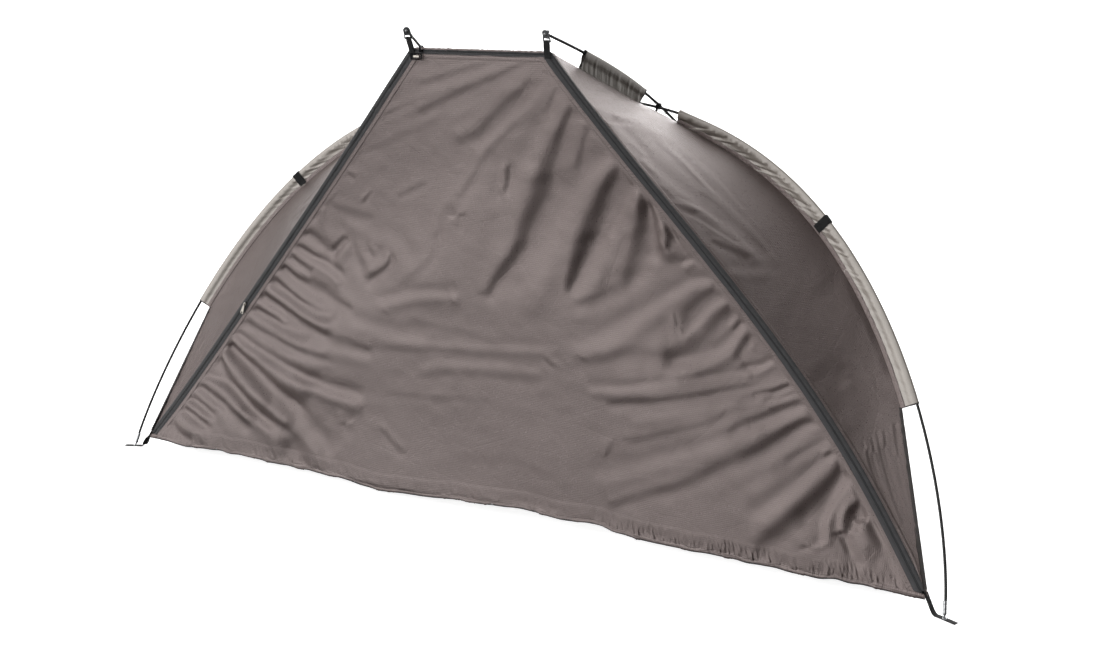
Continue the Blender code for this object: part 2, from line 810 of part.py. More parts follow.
def ground_straps():
    for word, side in SIDES:
        ground_strap("front_strap_" + word, FRONT_CORNER, hoop(0.0), foot_direction_hoop(), side)
        ground_strap("rear_strap_" + word, REAR_CORNER, REAR_FOOT, foot_direction_rear(), side)


def top_webbing():
    """Webbing sewn over the top corner, up to the plate."""
    out = TAPE_THICK + GAP + STRAP_THICK / 2
    x = TOP_HALF - PLATE_W * 0.55
    below, above = CORNER_WEBBING
    for word, side in SIDES:
        matrix = plate_matrix(side)
        upward = matrix.to_3x3().col[1]
        low = PLATE_W / 2 - PLATE_LENGTH - GAP
        plate_end = matrix.translation + upward * low
        sewn = [on_front(side * x, PANEL_HEIGHT - below, out), on_front(side * x, PANEL_HEIGHT + above, out)]
        path = sewn + [plate_end]
        ribbon("top_webbing_" + word, path, Vector((1, 0, 0)), PLATE_W * 0.9, STRAP_THICK, WEBBING)


def crossing_ties():
    """A ribbon knotted round both poles where they cross, with a tail down to the canopy."""
    hoop_along = (hoop(T_CROSS - 0.01) - hoop(T_CROSS + 0.01)).normalized()
    rear_along = (rear_pole(S_CROSS + 0.01) - rear_pole(S_CROSS - 0.01)).normalized()
    hoop_line = (hoop(T_CROSS), hoop(T_CROSS) + hoop_along)
    rear_line = (rear_pole(S_CROSS), rear_pole(S_CROSS) + rear_along)
    nearest = intersect_line_line(*hoop_line, *rear_line)
    middle = (nearest[0] + nearest[1]) / 2
    axis = (hoop_along + rear_along).normalized()
    stack = hoop_along.cross(rear_along).normalized()
    if stack.z < 0:
        stack.negate()
    across = stack.cross(axis)
    half_angle = hoop_along.angle(rear_along) / 2
    half_width = POLE_R / math.cos(half_angle) + TIE_W / 2 * math.tan(half_angle) + GAP
    half_stack = (nearest[1] - nearest[0]).length / 2 + POLE_R + 2 * GAP
    hole = rounded_box(half_width, half_stack, POLE_R * 0.8)
    ring = rounded_box(half_width + TIE_THICK, half_stack + TIE_THICK, POLE_R)
    ring += [(-TIE_THICK, -half_stack - TIE_THICK), (-TIE_THICK, -TIE_TAIL)]
    ring += [(TIE_THICK, -TIE_TAIL), (TIE_THICK, -half_stack - TIE_THICK)]
    for word, side in SIDES:
        x_axis = mirrored(across, side)
        y_axis = mirrored(stack, side)
        matrix = frame_matrix(mirrored(middle, side), x_axis, y_axis, x_axis.cross(y_axis))
        flat_outline("crossing_tie_" + word, [ring, hole], TIE_W, matrix, WEBBING)


clear_scene()
PARTS = collection_named("beach_tent")
CUTTERS = collection_named("cutters")

groundsheet()
front_hem()
for side_word, side_sign in SIDES:
    side_panel(side_word, side_sign)
    rear_side_panel(side_word, side_sign)
roof_panel()
rear_panel()
front_panel()
canopy_zip_tapes()
CHAIN_INSET = CANOPY_TAPE_W + ZIP_GAP / 2
zip_slider("zip_slider_top", -TOP_HALF + SLIDER_X, PANEL_HEIGHT - CHAIN_INSET, math.radians(90))
zip_slider("zip_slider_left", -slant_x(SLIDER_V, CHAIN_INSET), SLIDER_V, math.radians(-39.5))
hoop_pole()
rear_poles()
pole_feet()
corner_plates()
pole_top_pins()
sleeves()
sleeve_tabs()
ground_straps()
top_webbing()
crossing_ties()
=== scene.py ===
"""A three-pole beach shelter, pitched and zipped shut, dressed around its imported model."""

import math

import bmesh
import bpy
import numpy as np
from mathutils import Matrix, Vector
from mathutils.geometry import intersect_line_line


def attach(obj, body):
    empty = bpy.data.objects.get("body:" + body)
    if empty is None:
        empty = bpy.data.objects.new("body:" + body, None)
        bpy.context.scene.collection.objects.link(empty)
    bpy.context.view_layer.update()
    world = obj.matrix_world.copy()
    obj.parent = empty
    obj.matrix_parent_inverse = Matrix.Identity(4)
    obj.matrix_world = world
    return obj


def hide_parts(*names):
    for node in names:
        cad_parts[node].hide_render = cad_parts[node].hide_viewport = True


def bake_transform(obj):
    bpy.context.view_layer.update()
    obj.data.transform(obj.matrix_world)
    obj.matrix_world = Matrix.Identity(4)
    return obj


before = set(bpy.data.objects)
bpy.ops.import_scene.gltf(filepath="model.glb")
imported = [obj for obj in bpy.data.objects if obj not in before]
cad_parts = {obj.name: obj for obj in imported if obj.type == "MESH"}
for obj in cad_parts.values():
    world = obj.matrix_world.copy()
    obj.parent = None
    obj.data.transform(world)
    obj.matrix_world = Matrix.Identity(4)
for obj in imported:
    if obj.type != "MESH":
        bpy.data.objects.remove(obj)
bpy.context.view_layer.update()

# The studio. A pale seamless floor in a dark room with broad soft lights: the key high in front on the
# left, a low fill beside it, and a ring of lights behind. Each is a patch of the room's wall that fades
# out 45 degrees from its middle. The camera stands 3.3 m in front, 1.6 m to the right and 1.4 m up.
FLOOR_DROP = 0.0006
FLOOR_SIZE = 260.0
FLOOR_GLOW = 0.82
ROOM_GLOW = 0.03
SOFT_EDGE = 0.70
SOFT_LIGHTS = (  # direction to its middle, strength
    ((0.34, 0.45, 0.82), 0.48),
    ((-0.19, 0.71, 0.68), 1.04),
    ((-0.36, -0.69, 0.62), 1.66),
    ((-0.79, 0.32, 0.53), 0.41),
    ((0.27, 0.86, 0.43), 1.32),
    ((-0.80, -0.46, 0.38), 1.16),
    ((-0.55, 0.79, 0.28), 1.17),
    ((-0.13, -0.95, 0.28), 0.28),
    ((0.75, 0.63, 0.18), 0.40),
    ((-0.05, 1.00, 0.03), 1.17),
    ((-0.62, -0.78, -0.04), 1.62),
    ((0.48, 0.85, -0.23), 0.70),
    ((-0.36, 0.86, -0.38), 0.70),
    ((0.13, 0.77, -0.62), 0.51),
)
EYE = (1.6204, -3.3362, 1.3749)
EYE_PITCH = 14.995
EYE_YAW = 27.341
LENS_MM = 42.545
SHIFT = (0.0003, -0.001)

scene = bpy.context.scene
scene.view_settings.view_transform = "Standard"


def linear(hex_colour):
    """A shader colour from an sRGB hex value."""
    parts = [int(hex_colour[i : i + 2], 16) / 255 for i in (1, 3, 5)]
    return tuple(c / 12.92 if c <= 0.04045 else ((c + 0.055) / 1.055) ** 2.4 for c in parts) + (1.0,)


def node(tree, kind, sockets=(), out=0, ramp=(), to=None, **settings):
    """Adds a node with its settings and links, and returns one of its outputs.

    A socket takes a value or another node's output, a ramp each stop's place and colour, and to is the
    socket that this node feeds.
    """
    made = tree.nodes.new("ShaderNode" + kind)
    for name, value in settings.items():
        setattr(made, name, value)
    for name, value in dict(sockets).items():
        if isinstance(value, bpy.types.NodeSocket):
            tree.links.new(value, made.inputs[name])
        else:
            made.inputs[name].default_value = value
    for i, (place, colour) in enumerate(ramp):
        made.color_ramp.elements[i].position = place
        made.color_ramp.elements[i].color = linear(colour)
    if to is not None:
        tree.links.new(made.outputs[out], to)
    return made.outputs[out]


def new_material(name, roughness, metallic=0.0, **fixed):
    """A material with its own shader values; returns it with its tree and shader."""
    material = bpy.data.materials.new(name)
    material.use_nodes = True
    shader = material.node_tree.nodes["Principled BSDF"]
    shader.inputs["Roughness"].default_value = roughness
    shader.inputs["Metallic"].default_value = metallic
    for socket, value in fixed.items():
        shader.inputs[socket.replace("_", " ")].default_value = value
    return material, material.node_tree, shader


def placed(name, mesh, material):
    """A piece in the scene from its mesh, smooth and in one material."""
    mesh.materials.append(material)
    mesh.shade_smooth()
    piece = bpy.data.objects.new(name, mesh)
    scene.collection.objects.link(piece)
    return piece


def mesh_from(name, points, faces, material):
    mesh = bpy.data.meshes.new(name)
    mesh.from_pydata([tuple(p) for p in points], [], [tuple(f) for f in faces])
    return placed(name, mesh, material)


half = FLOOR_SIZE / 2
paper = new_material(
    "pale_studio_floor", 0.9, Base_Color=linear("#F4F4F4"), Emission_Color=linear("#FFFFFF"),
    Emission_Strength=FLOOR_GLOW,
)[0]
corners = [(x * half, y * half, -FLOOR_DROP) for x, y in ((-1, -1), (1, -1), (1, 1), (-1, 1))]
floor = mesh_from("studio_floor", corners, [(0, 1, 2, 3)], paper)
floor.visible_diffuse = False
floor.visible_glossy = False

room = bpy.data.worlds.new("studio_room")
scene.world = room
room.use_nodes = True
sky = room.node_tree
direction = node(sky, "TexCoord", out="Generated")
glow = ROOM_GLOW
for aim, strength in SOFT_LIGHTS:
    facing = node(sky, "VectorMath", {0: direction, 1: aim}, "Value", operation="DOT_PRODUCT")
    patch = {"Value": facing, "From Min": SOFT_EDGE, "To Max": strength}
    lit = node(sky, "MapRange", patch, interpolation_type="SMOOTHSTEP")
    glow = node(sky, "Math", {0: lit, 1: glow}, operation="ADD")
sky.links.new(glow, sky.nodes["Background"].inputs["Strength"])
sky.nodes["Background"].inputs["Color"].default_value = linear("#FFFFFF")

lens = bpy.data.cameras.new("studio_camera")
lens.lens = LENS_MM
lens.sensor_width = 36.0
lens.shift_x, lens.shift_y = SHIFT
lens.clip_end = 400.0
camera = bpy.data.objects.new("studio_camera", lens)
camera.location = EYE
camera.rotation_euler = (math.radians(90 - EYE_PITCH), 0.0, math.radians(EYE_YAW))
scene.collection.objects.link(camera)
scene.camera = camera

# The lines the shelter is cut to: the hoop pole's curve, the rear poles' curve, the front's curve and the
# edges of the fabric between them. Every piece is measured from these, in metres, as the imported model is.
HEM_HALF, HEM_Y, HEM_LIFT = 1.155, -0.600, 0.035
REAR_HALF, REAR_Y = 0.542, 0.520
TOP_HALF, TOP_LEAN, TOP_Z = 0.193, 0.025, 1.201
BOW, BOW_AT, BULGE, BULGE_POWER = 0.0756, 0.38, 0.029, 1.4
HOOP_HALF, HOOP_FOOT_Y, HOOP_TOP_Y, HOOP_RISE = 1.198, -0.618, -0.198, 1.068
HOOP_WIDTH_POWER, HOOP_RISE_POWER, HOOP_BOW = 0.745, 1.389, 0.081
T_SLEEVE, T_TAB, T_MOUTH, T_CROSS = 0.54, 0.955, 1.355, 1.404
TIP = Vector((0.192, -0.595, 1.245))
REAR_FOOT = Vector((0.557, 0.570, 0.0))
REAR_SLOPE, REAR_POWER = 0.35, 2.69
S_RIDGE_SLEEVE, S_REAR_SLEEVE, S_SEAM_END = (0.0988, 0.2807), (0.44, 0.86), 0.88
WEB, WEB_AT_CROSSING = 0.038, 0.014
POLE_R = 0.0034
FRONT_CORNER = Vector((HEM_HALF, HEM_Y, HEM_LIFT))
TOP_CORNER = Vector((TOP_HALF, HEM_Y + TOP_LEAN, TOP_Z))
REAR_CORNER = Vector((REAR_HALF, REAR_Y, HEM_LIFT))
PANEL_HEIGHT = math.hypot(TOP_LEAN, TOP_Z - HEM_LIFT)
UP_PANEL = np.array([0, TOP_LEAN, TOP_Z - HEM_LIFT]) / PANEL_HEIGHT
SPLAY = (HEM_HALF - TOP_HALF) / PANEL_HEIGHT
SIDES = (("left", -1), ("right", 1))


def hoop(t):
    """The right half of the hoop pole: t is 0 at the foot and a right angle at the top."""
    h = math.sin(t) ** HOOP_RISE_POWER
    y = HOOP_FOOT_Y + (HOOP_TOP_Y - HOOP_FOOT_Y) * h + HOOP_BOW * h * (1 - h)
    return Vector((HOOP_HALF * max(math.cos(t), 0.0) ** HOOP_WIDTH_POWER, y, HOOP_RISE * h))


def hoop_seam(t):
    """Where the hoop sleeve's web is sewn to the canopy."""
    near = min(max((T_CROSS - t) / 0.2, 0.0), 1.0)
    web = WEB_AT_CROSSING + (WEB - WEB_AT_CROSSING) * near * (2 - near)
    p = hoop(t)
    shrink = 1 - web / math.hypot(p.x, p.z)
    return Vector((p.x * shrink, p.y, p.z * shrink))


def rear_pole(s):
    """The right rear pole: s is 0 at its tip over the top corner and 1 at its foot."""
    p = TIP.lerp(REAR_FOOT, s)
    p.z = TIP.z * (1 - REAR_SLOPE * s - (1 - REAR_SLOPE) * s**REAR_POWER)
    return p


S_CROSS = (hoop(T_CROSS).x - TIP.x) / (REAR_FOOT.x - TIP.x)


def rear_seam(s):
    """The canopy's seam under the rear pole."""
    along = (rear_pole(s + 0.001) - rear_pole(s - 0.001)).normalized()
    across = Vector((REAR_FOOT.y - TIP.y, TIP.x - REAR_FOOT.x, 0)).normalized()
    inward = along.cross(across).normalized()
    if inward.z > 0:
        inward.negate()
    spread = min(max((s - S_CROSS) / 0.12, 0.0), 1.0)
    return rear_pole(s) + inward * (WEB_AT_CROSSING + (WEB - WEB_AT_CROSSING) * spread)


def unit(vectors):
    return vectors / np.maximum(np.linalg.norm(vectors, axis=-1, keepdims=True), 1e-12)


def bowed(v):
    """How much of its bow the front has at height v: 0 at the hem and the top, 1 at the deepest."""
    share = np.clip(np.asarray(v, float) / PANEL_HEIGHT, 0.0, 1.0)
    return share / BOW_AT * ((1 - share) / (1 - BOW_AT)) ** ((1 - BOW_AT) / BOW_AT)


def up_front(v):
    slope = BOW * (bowed(v + 0.001) - bowed(v - 0.001)) / 0.002
    return unit(UP_PANEL + np.asarray(slope)[..., None] * np.array([0.0, 1.0, 0.0]))


def out_of_front(v):
    up = up_front(v)
    return np.stack([up[..., 0] * 0, -up[..., 2], up[..., 1]], axis=-1)


def on_front(x, v, out=0.0):
    """Points of the front's curved surface, v up from the hem, and out towards the front."""
    x, v, out = np.broadcast_arrays(np.asarray(x, float), np.asarray(v, float), out)
    base = np.stack([x, HEM_Y + BOW * bowed(v), np.full(x.shape, HEM_LIFT)], axis=-1)
    return base + UP_PANEL * v[..., None] + out_of_front(v) * out[..., None]


def slant_x(v, inset):
    """Half the front's width at height v, inset square to its slanted edge."""
    return HEM_HALF - SPLAY * v + BULGE * bowed(v) ** BULGE_POWER - inset * math.hypot(1, SPLAY)


def steps(first, last, count):
    return [first + (last - first) * i / count for i in range(count + 1)]


def lengths(points):
    """How far along its own line each point lies."""
    points = np.asarray(points, float)
    return np.concatenate([[0.0], np.cumsum(np.linalg.norm(np.diff(points, axis=0), axis=1))])


def evened(points, count):
    """The same line through count + 1 points at equal distances."""
    points = np.asarray(points, float)
    far = lengths(points)
    wanted = np.linspace(0, far[-1], count + 1)
    return np.stack([np.interp(wanted, far, points[:, k]) for k in range(3)], axis=1)


def mirrored(points, side):
    return np.asarray(points, float) * np.array([side, 1.0, 1.0])


def on_grid(grid, row, column):
    """Points of a sheet at fractional rows and columns of its grid."""
    row, column = np.broadcast_arrays(row, column)
    i = np.clip(row.astype(int), 0, grid.shape[0] - 2)
    j = np.clip(column.astype(int), 0, grid.shape[1] - 2)
    a, b = (row - i)[..., None], (column - j)[..., None]
    low = grid[i, j] * (1 - b) + grid[i, j + 1] * b
    return low * (1 - a) + (grid[i + 1, j] * (1 - b) + grid[i + 1, j + 1] * b) * a


def cloth_mesh(name, grid, material, cut=None, inside=(0.0, -0.10, 0.30)):
    """A sheet through rows of points: its UV map in metres of cloth, its faces turned from inside."""
    grid = np.asarray(grid, float)
    rows, columns = grid.shape[:2]
    if cut is None:
        down = lengths(grid[:, columns // 2])
        across = lengths(grid[rows // 2])
        cut = np.stack(np.meshgrid(across, down), axis=-1)
    order = np.arange(rows * columns).reshape(rows, columns)
    corners = (order[:-1, :-1], order[:-1, 1:], order[1:, 1:], order[1:, :-1])
    quads = np.stack(corners, axis=-1).reshape(-1, 4)
    flat = grid.reshape(-1, 3)
    normals = np.cross(flat[quads[:, 2]] - flat[quads[:, 0]], flat[quads[:, 3]] - flat[quads[:, 1]])
    if inside is not None and (normals * (flat[quads].mean(1) - np.array(inside))).sum() < 0:
        quads = quads[:, ::-1]
    mesh = bpy.data.meshes.new(name)
    mesh.vertices.add(len(flat))
    mesh.vertices.foreach_set("co", flat.ravel())
    mesh.loops.add(quads.size)
    mesh.loops.foreach_set("vertex_index", quads.ravel())
    mesh.polygons.add(len(quads))
    mesh.polygons.foreach_set("loop_start", np.arange(0, quads.size, 4))
    mesh.update(calc_edges=True)
    mesh.uv_layers.new(name="cut").data.foreach_set("uv", cut.reshape(-1, 2)[quads.ravel()].ravel())
    return placed(name, mesh, material)


def joined(name, pieces):
    """One piece from several."""
    chosen = {"active_object": pieces[0], "object": pieces[0], "selected_editable_objects": pieces}
    with bpy.context.temp_override(**chosen):
        bpy.ops.object.join()
    whole = pieces[0]
    whole.name = whole.data.name = name
    return whole


def ripple(x, y, seed):
    """Smooth random waves about one unit long, the same each run."""
    knots = np.random.default_rng(seed).standard_normal((64, 64))
    x, y = np.broadcast_arrays(np.asarray(x, float), y)
    i, j = np.floor(x).astype(int), np.floor(y).astype(int)
    u, v = x - i, y - j
    u, v = u * u * (3 - 2 * u), v * v * (3 - 2 * v)
    a, b = knots[i % 64, j % 64], knots[(i + 1) % 64, j % 64]
    c, d = knots[i % 64, (j + 1) % 64], knots[(i + 1) % 64, (j + 1) % 64]
    return (a * (1 - u) + b * u) * (1 - v) + (c * (1 - u) + d * u) * v


def soft_step(x, low, high):
    x = np.clip((x - low) / (high - low), 0.0, 1.0)
    return x * x * (3 - 2 * x)


def smooth_line(points, count):
    """A curve through the points, as evenly spaced points."""
    points = np.asarray(points, float)
    if len(points) == 2:
        return points[0] + (points[1] - points[0]) * np.linspace(0, 1, count)[:, None]
    padded = np.vstack([2 * points[0] - points[1], points, 2 * points[-1] - points[-2]])
    curve = []
    for a, b, c, d in zip(padded, padded[1:], padded[2:], padded[3:]):
        u = np.linspace(0, 1, 14, endpoint=False)[:, None]
        square, cube = 2 * a - 5 * b + 4 * c - d, 3 * b - a - 3 * c + d
        curve.append(0.5 * (2 * b + (c - a) * u + square * u**2 + cube * u**3))
    curve = np.vstack(curve + [points[-1:]])
    far = lengths(curve)
    wanted = np.linspace(0, far[-1], count)
    return np.stack([np.interp(wanted, far, curve[:, k]) for k in range(curve.shape[1])], axis=1)


def folded(x, v, folds, toward, slope, spread):
    """How far the cloth stands out at each point, from the flanks of its folds."""
    height = np.zeros(x.shape)
    for strength, first, last, *points in folds:
        line = smooth_line(np.array(points) / 1000, 32)
        reach = 3.2 * max(first, last) * spread / 1000
        near = (
            (x > line[:, 0].min() - reach) & (x < line[:, 0].max() + reach)
            & (v > line[:, 1].min() - reach) & (v < line[:, 1].max() + reach)
        )
        if not near.any():
            continue
        spot = np.stack([x[near], v[near]], axis=1)
        gap = spot[:, None] - line[None]
        k = (gap**2).sum(-1).argmin(1)
        along = unit(np.gradient(line, axis=0))[k]
        across = np.stack([-along[:, 1], along[:, 0]], axis=1)
        across *= np.sign(across @ toward)[:, None]
        offset = gap[np.arange(len(k)), k]
        d = (offset * across).sum(1)
        far = lengths(line)
        run = far[k] + (offset * along).sum(1)
        width = (first + (last - first) * np.clip(run / far[-1], 0, 1)) / 1000 * spread
        ends = soft_step(run, -width, width) * (1 - soft_step(run, far[-1] - width, far[-1] + width))
        height[near] -= strength * slope * d * np.exp(-(d**2) / (2 * width**2)) * ends
    return height


# Polyester taffeta, plain woven from flat bright filaments and coated inside. The warp and weft lie so
# close that it looks satiny: deep brown where it turns from the light, a pale broad sheen where it meets it.
# Its threads are 0.12 mm apart, too fine to show, so the weave is drawn at 1.6 mm with a 4.6 mm check.
THREAD = 0.0016
CHECK = 0.0046
WAVE_UNIT = 0.31416
RELIEF = 0.0007


def taffeta(name, light, deep, roughness, sheen, tint, ior=1.75, crumpled=0.6):
    material, tree, shader = new_material(
        name, roughness, Sheen_Weight=sheen, Sheen_Roughness=0.35, IOR=ior, Sheen_Tint=linear("#E6E2E0"),
        Specular_IOR_Level=1.0, Specular_Tint=linear(tint),
    )
    cut = node(tree, "UVMap", uv_map="cut")
    body = node(tree, "TexCoord", out="Object")
    woven = []
    for pitch in (THREAD, CHECK):
        bands = {"Vector": cut, "Scale": WAVE_UNIT / pitch}
        warp, weft = (node(tree, "TexWave", bands, "Fac", bands_direction=axis) for axis in "XY")
        woven.append(node(tree, "Math", {0: warp, 1: weft}, operation="MULTIPLY"))
    both = node(tree, "Math", {0: woven[0], 1: woven[1]}, operation="ADD")
    dye = node(tree, "TexNoise", {"Vector": body, "Scale": 5.0, "Detail": 4.0, "Roughness": 0.6})
    slub = node(tree, "TexNoise", {"Vector": cut, "Scale": 240.0, "Detail": 2.0})
    tone = node(tree, "Math", {0: dye, 1: slub}, operation="ADD")
    tone = node(tree, "MapRange", {"Value": tone, "From Min": 0.7, "From Max": 1.3})
    tone = node(tree, "Math", {0: both, 1: 0.16, 2: tone}, operation="MULTIPLY_ADD")
    node(tree, "ValToRGB", {"Fac": tone}, ramp=((0, deep), (1, light)), to=shader.inputs["Base Color"])
    gloss = {"Value": slub, "From Min": 0.3, "From Max": 0.7}
    gloss.update({"To Min": roughness - 0.04, "To Max": roughness + 0.05})
    node(tree, "MapRange", gloss, to=shader.inputs["Roughness"])
    crumple = node(tree, "TexNoise", {"Vector": body, "Scale": 26.0, "Detail": 5.0, "Roughness": 0.6})
    packed = node(tree, "TexVoronoi", {"Vector": body, "Scale": 9.0}, feature="DISTANCE_TO_EDGE")
    packed = node(tree, "MapRange", {"Value": packed, "From Max": 0.035})
    surface = node(tree, "Math", {0: crumple, 1: 4.5, 2: both}, operation="MULTIPLY_ADD")
    surface = node(tree, "Math", {0: packed, 1: 0.5, 2: surface}, operation="MULTIPLY_ADD")
    relief = {"Height": surface, "Distance": RELIEF, "Strength": crumpled}
    node(tree, "Bump", relief, to=shader.inputs["Normal"])
    return material


TAUPE = taffeta("taupe_polyester_taffeta", "#463C3A", "#3D3432", 0.31, 0.04, "#FFEEEA")

# The canopy: two side panels, a roof strip, a back and two rear side panels, cut from the taffeta and
# sewn edge to edge into one sheet that hangs from the hoop and the two rear poles. It is stretched from
# the top corners, so fine pleats fan out from there; elsewhere it sags a little between its seams.
EDGE_STEPS = 380
SIDE_COLUMNS = 96
REAR_COLUMNS = 18
BACK_COLUMNS = 22
MID_CLOTH = 0.0015
EDGE_SHARE = 0.004

fine_v = np.linspace(EDGE_SHARE * PANEL_HEIGHT, PANEL_HEIGHT, 600)
fine_line = on_front(slant_x(fine_v, 0.0), fine_v)
fine_far = lengths(fine_line)
zip_v = np.interp(np.linspace(0, fine_far[-1], EDGE_STEPS + 1), fine_far, fine_v)
zip_line = on_front(slant_x(zip_v, 0.0), zip_v)
low_end = hoop_seam(T_SLEEVE)
outer_seam = evened(
    [FRONT_CORNER.lerp(low_end, f) for f in steps(EDGE_SHARE, 1, 20)]
    + [hoop_seam(t) for t in steps(T_SLEEVE, T_CROSS, 300)[1:]],
    EDGE_STEPS,
)
rear_seams = [rear_seam(s) for s in steps(S_SEAM_END, S_CROSS, 200)[:-8]]
rear_line = evened([REAR_CORNER] + rear_seams + [hoop_seam(T_CROSS)], EDGE_STEPS)
top_half = [hoop_seam(t) for t in steps(T_CROSS, math.pi / 2, 60)]
top_line = evened([(-x, y, z) for x, y, z in top_half[:-1]] + top_half[::-1], BACK_COLUMNS)
panel_width = np.linalg.norm(outer_seam - zip_line, axis=1)


def ruled(first, second, columns):
    f = np.linspace(0, 1, columns + 1)[None, :, None]
    return first[:, None] * (1 - f) + second[:, None] * f


def outward(grid):
    """Unit normals of a grid of points, turned away from the shelter's inside."""
    normals = unit(np.cross(np.gradient(grid, axis=1), np.gradient(grid, axis=0)))
    flip = ((grid - np.array([0.0, -0.10, 0.30])) * normals).sum()
    return normals if flip > 0 else -normals


def sagged(grid, depth):
    """Inward sag of a panel that is held by all its edges."""
    rows, columns = grid.shape[:2]
    v, u = np.meshgrid(np.linspace(0, 1, rows), np.linspace(0, 1, columns), indexing="ij")
    return -depth * np.sin(math.pi * u) * np.sin(math.pi * v) ** 0.7


# The side panels' pleats: how far each one's flank turns to the light (+) or away from it (-), its half
# widths at both ends in mm, and the points of its middle line in mm across from the shelter's middle and up.
LIGHT_FROM = np.array([-0.35, 0.94])
SIDE_SLOPE = 0.48
SIDE_FOLDS = (
    (+1.00, 3, 3, (215, 1174), (238, 1147), (259, 1123)),
    (+1.00, 3, 3, (257, 1127), (281, 1103), (308, 1079), (340, 1050)),
    (+0.80, 3, 3, (255, 1117), (281, 1092), (328, 1058), (369, 1031)),
    (+0.90, 3, 3, (287, 1092), (331, 1057), (380, 1024), (437, 986), (486, 951)),
    (+0.90, 3, 3, (306, 1080), (365, 1034), (428, 984), (488, 935), (555, 875)),
    (+0.70, 3, 3, (366, 1033), (424, 995), (496, 942), (551, 898), (620, 837)),
    (+0.60, 3, 3, (300, 1054), (366, 1027), (440, 987), (505, 948)),
    (-0.50, 3, 3, (345, 1046), (405, 1007), (464, 968), (522, 924)),
    (-0.50, 3, 3, (294, 1091), (348, 1047), (399, 1006), (467, 948), (521, 899)),
    (-0.50, 3, 3, (279, 1103), (320, 1063), (360, 1025), (414, 975)),
    (+0.60, 3, 10, (303, 1078), (366, 1012), (427, 949), (496, 887), (562, 835), (631, 782), (686, 731)),
    (-0.80, 3, 3, (380, 995), (397, 978), (413, 962)),
    (-0.70, 3, 3, (413, 953), (427, 939), (442, 925)),
    (-0.70, 4, 3, (456, 900), (472, 890), (489, 872)),
    (-1.00, 3, 5, (492, 861), (515, 849), (541, 836)),
    (+0.70, 3, 4, (495, 873), (523, 856), (553, 838), (590, 812)),
    (+0.80, 3, 3, (515, 839), (551, 819), (590, 792), (633, 764)),
    (-0.90, 4, 7, (584, 777), (611, 762), (637, 750), (663, 735)),
    (-0.40, 8, 8, (567, 795), (598, 775), (615, 766)),
    (+0.50, 6, 10, (638, 772), (668, 749), (694, 722), (714, 695)),
    (+0.40, 13, 10, (625, 708), (661, 709), (699, 702)),
    (-0.40, 3, 3, (528, 882), (574, 848), (635, 796), (678, 758)),
    (+0.40, 3, 3, (517, 907), (592, 846), (668, 779), (721, 724)),
    (-0.60, 3, 4, (982, 351), (1004, 293), (1030, 242), (1069, 173)),
    (-0.70, 3, 4, (1004, 365), (1023, 314), (1053, 253), (1088, 184)),
    (-0.60, 3, 3, (1022, 378), (1036, 335), (1059, 274), (1085, 214)),
    (+0.50, 3, 4, (967, 351), (987, 299), (1015, 242)),
    (+0.50, 3, 4, (990, 361), (1013, 304), (1039, 247), (1079, 173)),
    (+0.60, 3, 4, (1031, 382), (1046, 335), (1066, 274), (1085, 224)),
    (+0.30, 10, 12, (916, 473), (960, 458), (998, 447)),
    (-0.30, 10, 12, (899, 506), (948, 493), (985, 484)),
)


def held_by(width, count):
    """How free a sheet is at each of its columns: 0 at both seams, 1 from a short way in."""
    share = np.linspace(0, 1, count + 1)[None, :]
    near = np.minimum(share, 1 - share) * np.maximum(width, 0.001)[:, None]
    return soft_step(near, 0.0, 0.022)


def raised(grid, rise):
    """A sheet moved outwards, square to itself."""
    return grid + outward(grid) * rise[..., None]


panels = []
for _, side in SIDES:
    grid = mirrored(ruled(zip_line, outer_seam, SIDE_COLUMNS), side)
    x, z = grid[..., 0], grid[..., 2]
    free = held_by(panel_width, SIDE_COLUMNS)
    rise = sagged(grid, 0.008)
    rise += folded(x * side, z, SIDE_FOLDS, LIGHT_FROM, SIDE_SLOPE, 1.0) * free
    rise += 0.0011 * free * ripple(x / 0.09 + 7 * side, z / 0.12, 11)
    rise += 0.0005 * free * ripple(x / 0.035 + 3 * side, z / 0.045, 14)
    panels.append(raised(grid, rise + MID_CLOTH))
    grid = mirrored(ruled(outer_seam, rear_line, REAR_COLUMNS), side)
    y, z = grid[..., 1], grid[..., 2]
    free = held_by(np.linalg.norm(outer_seam - rear_line, axis=1), REAR_COLUMNS)
    rise = sagged(grid, 0.012) + 0.0020 * free * ripple(y / 0.10 + 3 * side, z / 0.22, 12)
    panels.append(raised(grid, rise + MID_CLOTH))
fade = (np.linspace(0, 1, EDGE_STEPS + 1) ** 2)[:, None, None]
chord = (top_line[-1] - top_line[0]) * np.linspace(0, 1, BACK_COLUMNS + 1)[:, None]
crown = (top_line - top_line[0] - chord)[None]
grid = ruled(mirrored(rear_line, -1), rear_line, BACK_COLUMNS) + crown * fade
free = held_by(2 * rear_line[:, 0], BACK_COLUMNS)
rise = sagged(grid, 0.012) + 0.0020 * free * ripple(grid[..., 0] / 0.15, grid[..., 2] / 0.20, 13)
panels.append(raised(grid, rise + MID_CLOTH))
across = np.linspace(-1, 1, BACK_COLUMNS + 1) * TOP_HALF
front_top = np.stack([across, across * 0 + TOP_CORNER.y, across * 0 + TOP_CORNER.z], axis=1)
grid = np.swapaxes(ruled(front_top, top_line, SIDE_COLUMNS), 0, 1)
panels.append(raised(grid, sagged(grid, 0.006) + MID_CLOTH))
